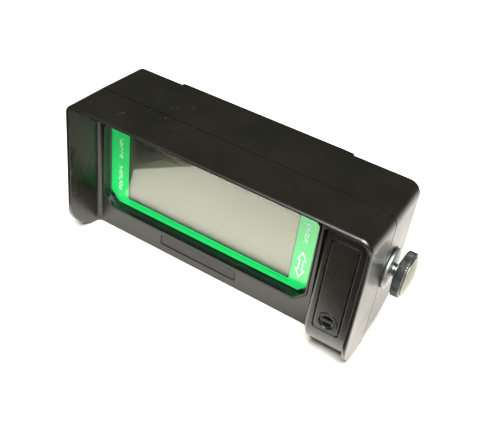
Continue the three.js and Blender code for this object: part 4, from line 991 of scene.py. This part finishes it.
finish_tree(knurl_tree, cut_teeth.outputs[0], given["Finish"])


def stand_on_side(made, out, face, distance):
    """Turns a piece drawn along z so that it points out of the housing's side."""
    spin = Vector((0, 0, 1)).rotation_difference(Vector((out, 0, 0))).to_matrix().to_4x4()
    made.data.transform(Matrix.Translation((face + out * distance, PIVOT_Y, PIVOT_Z)) @ spin)
    return made


# %% Washers, studs, knobs and caps
WASHER_R, WASHER_T, WASHER_GAP, BORE_R = 12.4, 2.0, 0.05, 4.25
THRUST_R, THRUST_Y = 7.5, (4.8, 5.8)
THUMB_R, THUMB_AT, THUMB_T = 13.05, 5.9, 5.8
CAP_T, DOME_R = 2.6, 35.0
PITCH, TURNS, THREAD_START = 1.25, 14.0, -8.1
for tag, (out, face) in SIDES.items():
    axis = (out, 0, 0)
    seat = (face, PIVOT_Y, PIVOT_Z)
    washer = turned(f"washer_{tag}", softened([
        (BORE_R, WASHER_GAP), (WASHER_R, WASHER_GAP), (WASHER_R, WASHER_T), (BORE_R, WASHER_T),
        (BORE_R, WASHER_GAP)], 0.7, 5), seat, axis, 96)
    finished(washer, bright_steel, "housing", [f"clamp_washer_{tag}"])
    stud = turned(f"stud_{tag}", softened([
        (0, -9), (3.0, -9), (3.7, -8.3), (3.7, 10.0), (3.0, 10.7), (0, 10.7)], 0.3, 3), seat, axis, 48)
    thread = run_tree(f"thread_{tag}", thread_tree, thread_keys, {
        "Radius": 3.6, "Ridge": 0.38, "Turns": TURNS, "Length": TURNS * PITCH, "Finish": zinc_plate})
    stand_on_side(thread, out, face, THREAD_START)
    finished(thread, zinc_plate, "housing")
    finished(stud, zinc_plate, "housing", [f"pivot_stud_{tag}"])
    thrust = turned(f"thrust_{tag}", softened([
        (BORE_R, THRUST_Y[0]), (THRUST_R, THRUST_Y[0]), (THRUST_R, THRUST_Y[1]), (BORE_R, THRUST_Y[1]),
        (BORE_R, THRUST_Y[0])], 0.3, 4), seat, axis, 72)
    finished(thrust, zinc_plate, f"thrust_{tag}", [f"thrust_washer_{tag}"])
    knob = turned(f"knob_{tag}", softened([
        (0, THUMB_T - 0.7), (BORE_R, THUMB_T - 0.7), (BORE_R, 0), (11.8, 0), (THUMB_R, 0.7),
        (THUMB_R, THUMB_T - 0.6), (12.4, THUMB_T), (0, THUMB_T)], 0.35, 4),
        (face + out * THUMB_AT, PIVOT_Y, PIVOT_Z), axis, 96)
    finished(knob, knob_black, f"thumb_{tag}", [f"thumb_knob_{tag}"])
    knurl = run_tree(f"knurl_{tag}", knurl_tree, knurl_keys, {
        "Radius": 12.95, "Width": 3.9, "Columns": 48, "Rows": 4, "Tooth": 0.84, "Height": 0.84,
        "Finish": knob_black})
    stand_on_side(knurl, out, face, THUMB_AT + 2.9)
    finished(knurl, knob_black, f"thumb_{tag}", sharp=20)
    leans = [math.radians(degrees) for degrees in range(19, 0, -2)]
    dome = [(DOME_R * math.sin(lean), CAP_T - DOME_R * (1 - math.cos(lean))) for lean in leans]
    foot = [(0, 0), (12.0, 0), (12.2, 0.15), (12.2, 0.4), (12.0, 0.6)]
    cap = turned(f"cap_{tag}", foot + dome + [(0, CAP_T)],
                 (face + out * (THUMB_AT + THUMB_T + 0.02), PIVOT_Y, PIVOT_Z), axis, 96)
    finished(cap, nickel_plate, f"thumb_{tag}", [f"knob_cap_{tag}"])

# %% [markdown]
# ## What stays from the CAD
# The boards, chips and other plain inner pieces already have their real shape. They keep their CAD
# mesh, which is never edited. A Weld and a Bevel modifier ease their edges, and each gets the
# finish of its real material.

# %% Finishes and eased edges for the CAD nodes
CAD_FINISHES = [
    (window_clear, 0.3, "window_glass"), (foam_rubber, 0, "window_gasket"),
    (green_ink_painted_glow, 0, "legend_overlay"), (tinned_steel, 0, "lcd_frame"), (display_grey, 0.2, "lcd_cell"),
    (light_acrylic, 0.25, "light_guide"),
    (board_green, 0.12, "lcd_board main_board control_board"), (chip_epoxy, 0.3, "processor"),
    (chip_epoxy, 0.25, "memory_chip board_header"), (chip_epoxy, 0.4, "buzzer"),
    (sleeve_grey, 0.6, "capacitor_large"), (sleeve_grey, 0.5, "capacitor_small"),
    (drawn_aluminium, 0.2, "heat_sink"), (pot_blue, 0.3, "dimmer_pot"),
    (insulator_blue, 0.1, "connector_body"),
    (bright_steel, 0.15, "connector_shell"), (zinc_plate, 0.15, "jack_post_left jack_post_right"),
    (turned_brass, 0.2, "pivot_insert_left pivot_insert_right"),
    (turned_brass, 0.2, "board_spacer_1 board_spacer_2 board_spacer_3 board_spacer_4")]
given_finish = []
for ink, edge, names in CAD_FINISHES:
    for name in names.split():
        given_finish.append(name)
        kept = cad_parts[name]
        kept.data.materials.clear()
        kept.data.materials.append(ink)
        if edge:
            weld = kept.modifiers.new("weld", "WELD")
            weld.merge_threshold = 0.00001
            bevel = kept.modifiers.new("eased edges", "BEVEL")
            bevel.width = edge / 1000
            bevel.segments = 2
            bevel.limit_method = "ANGLE"
            bevel.angle_limit = math.radians(50)
# Lamps reach the display straight through the pane, as clear glass lets them.
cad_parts["window_glass"].visible_shadow = False
left_bare = [n for n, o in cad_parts.items() if not o.hide_render and n not in given_finish]
print("CAD nodes without a finish:", left_bare)

# %% [markdown]
# ## Camera, floor and light
# The camera looks down from the right at the angle that shows the hood, the window and the right
# side together. The floor is plain and pale. One broad soft light stands overhead, and the lit
# floor does most of the work, because black plastic is seen mainly by what it mirrors. A small
# second light near the camera draws thin bright lines along the rounded rims.

# %% Camera
CAMERA_FROM_CORNER = Vector((0.271731, -0.288089, 0.324811))
LENS_MM, SENSOR_MM = 56.765, 36.0

camera = bpy.data.objects.new("camera", bpy.data.cameras.new("camera"))
bpy.context.scene.collection.objects.link(camera)
image_right = Vector((0.84234968, 0.52709995, 0.11230612))
image_up = -Vector((0.39841167, -0.46871534, -0.78839969))
backward = image_right.cross(image_up)
camera.matrix_world = Matrix.Translation(Vector(HOUSING_CORNER) + CAMERA_FROM_CORNER) @ Matrix(
    (image_right, image_up, backward)).transposed().to_4x4()
camera.data.sensor_width = SENSOR_MM
camera.data.lens = LENS_MM
camera.data.clip_start = 0.01
bpy.context.scene.camera = camera
print("camera looks along", list(-backward))

# %% Floor
floor = prism("floor", [(-3, -3), (3, -3), (3, 3), (-3, 3)], "z", -0.02, -0.0005)
floor_paint = uneven_finish("matt_white_table", ("#f6f1e7", "#fbf6ec"), (0.7, 0.8), 2.0, 0.01, 200.0, IOR=1.4)
floor.data.materials.append(floor_paint)

# %% Lights
def soft_light(name, place, target, size, watts, colour="#ffffff"):
    data = bpy.data.lights.new(name, "AREA")
    data.shape = "SQUARE"
    data.size = size
    data.energy = watts
    data.color = linear(colour)[:3]
    lamp = bpy.data.objects.new(name, data)
    lamp.location = place
    lamp.rotation_euler = (Vector(target) - Vector(place)).to_track_quat("-Z", "Y").to_euler()
    bpy.context.scene.collection.objects.link(lamp)
    return lamp


soft_light("key", (0.3, -0.5, 1.3), (0, 0, 0), 0.9, 62)
soft_light("near_camera", (0.13, -0.38, 0.48), (0, 0, 0.04), 0.08, 0.5)

# %% [markdown]
# Black plastic shows its surroundings, so what it mirrors is chosen with care. A dark card laid in front of the
# set is a painted reflection: only reflections see it. It keeps the pillar and the hood deep black in what they
# mirror, and leaves a pale pool near the object for the display to mirror. The floor itself stays pale.

# %% Card that only reflections see
card_edge = [(-60, 20), (-13, -22), (20, -57), (100, -62), (150, -50), (190, -22), (240, 10), (300, 30)]
front_sheet = card_edge + [(300, -900), (-900, -900), (-900, 20)]
# Painted reflection: a black sheet that only glossy rays see.
painted_reflection_black = uneven_finish("painted_reflection_card_finish", ("#050505", "#090909"), (0.9, 1.0), 1.0, 0.01, 50.0, IOR=1.3)
card = prism("dark_card", front_sheet[::-1], "z", 0.2, 0.4)
card.data.transform(TO_FRAME)
card.data.materials.append(painted_reflection_black)
card.visible_camera = False
card.visible_diffuse = False
card.visible_shadow = False
world = bpy.data.worlds.new("studio")
bpy.context.scene.world = world
world.use_nodes = True
world.node_tree.nodes["Background"].inputs["Color"].default_value = (1, 1, 1, 1)
world.node_tree.nodes["Background"].inputs["Strength"].default_value = 0.08
bpy.context.scene.view_settings.view_transform = "Standard"
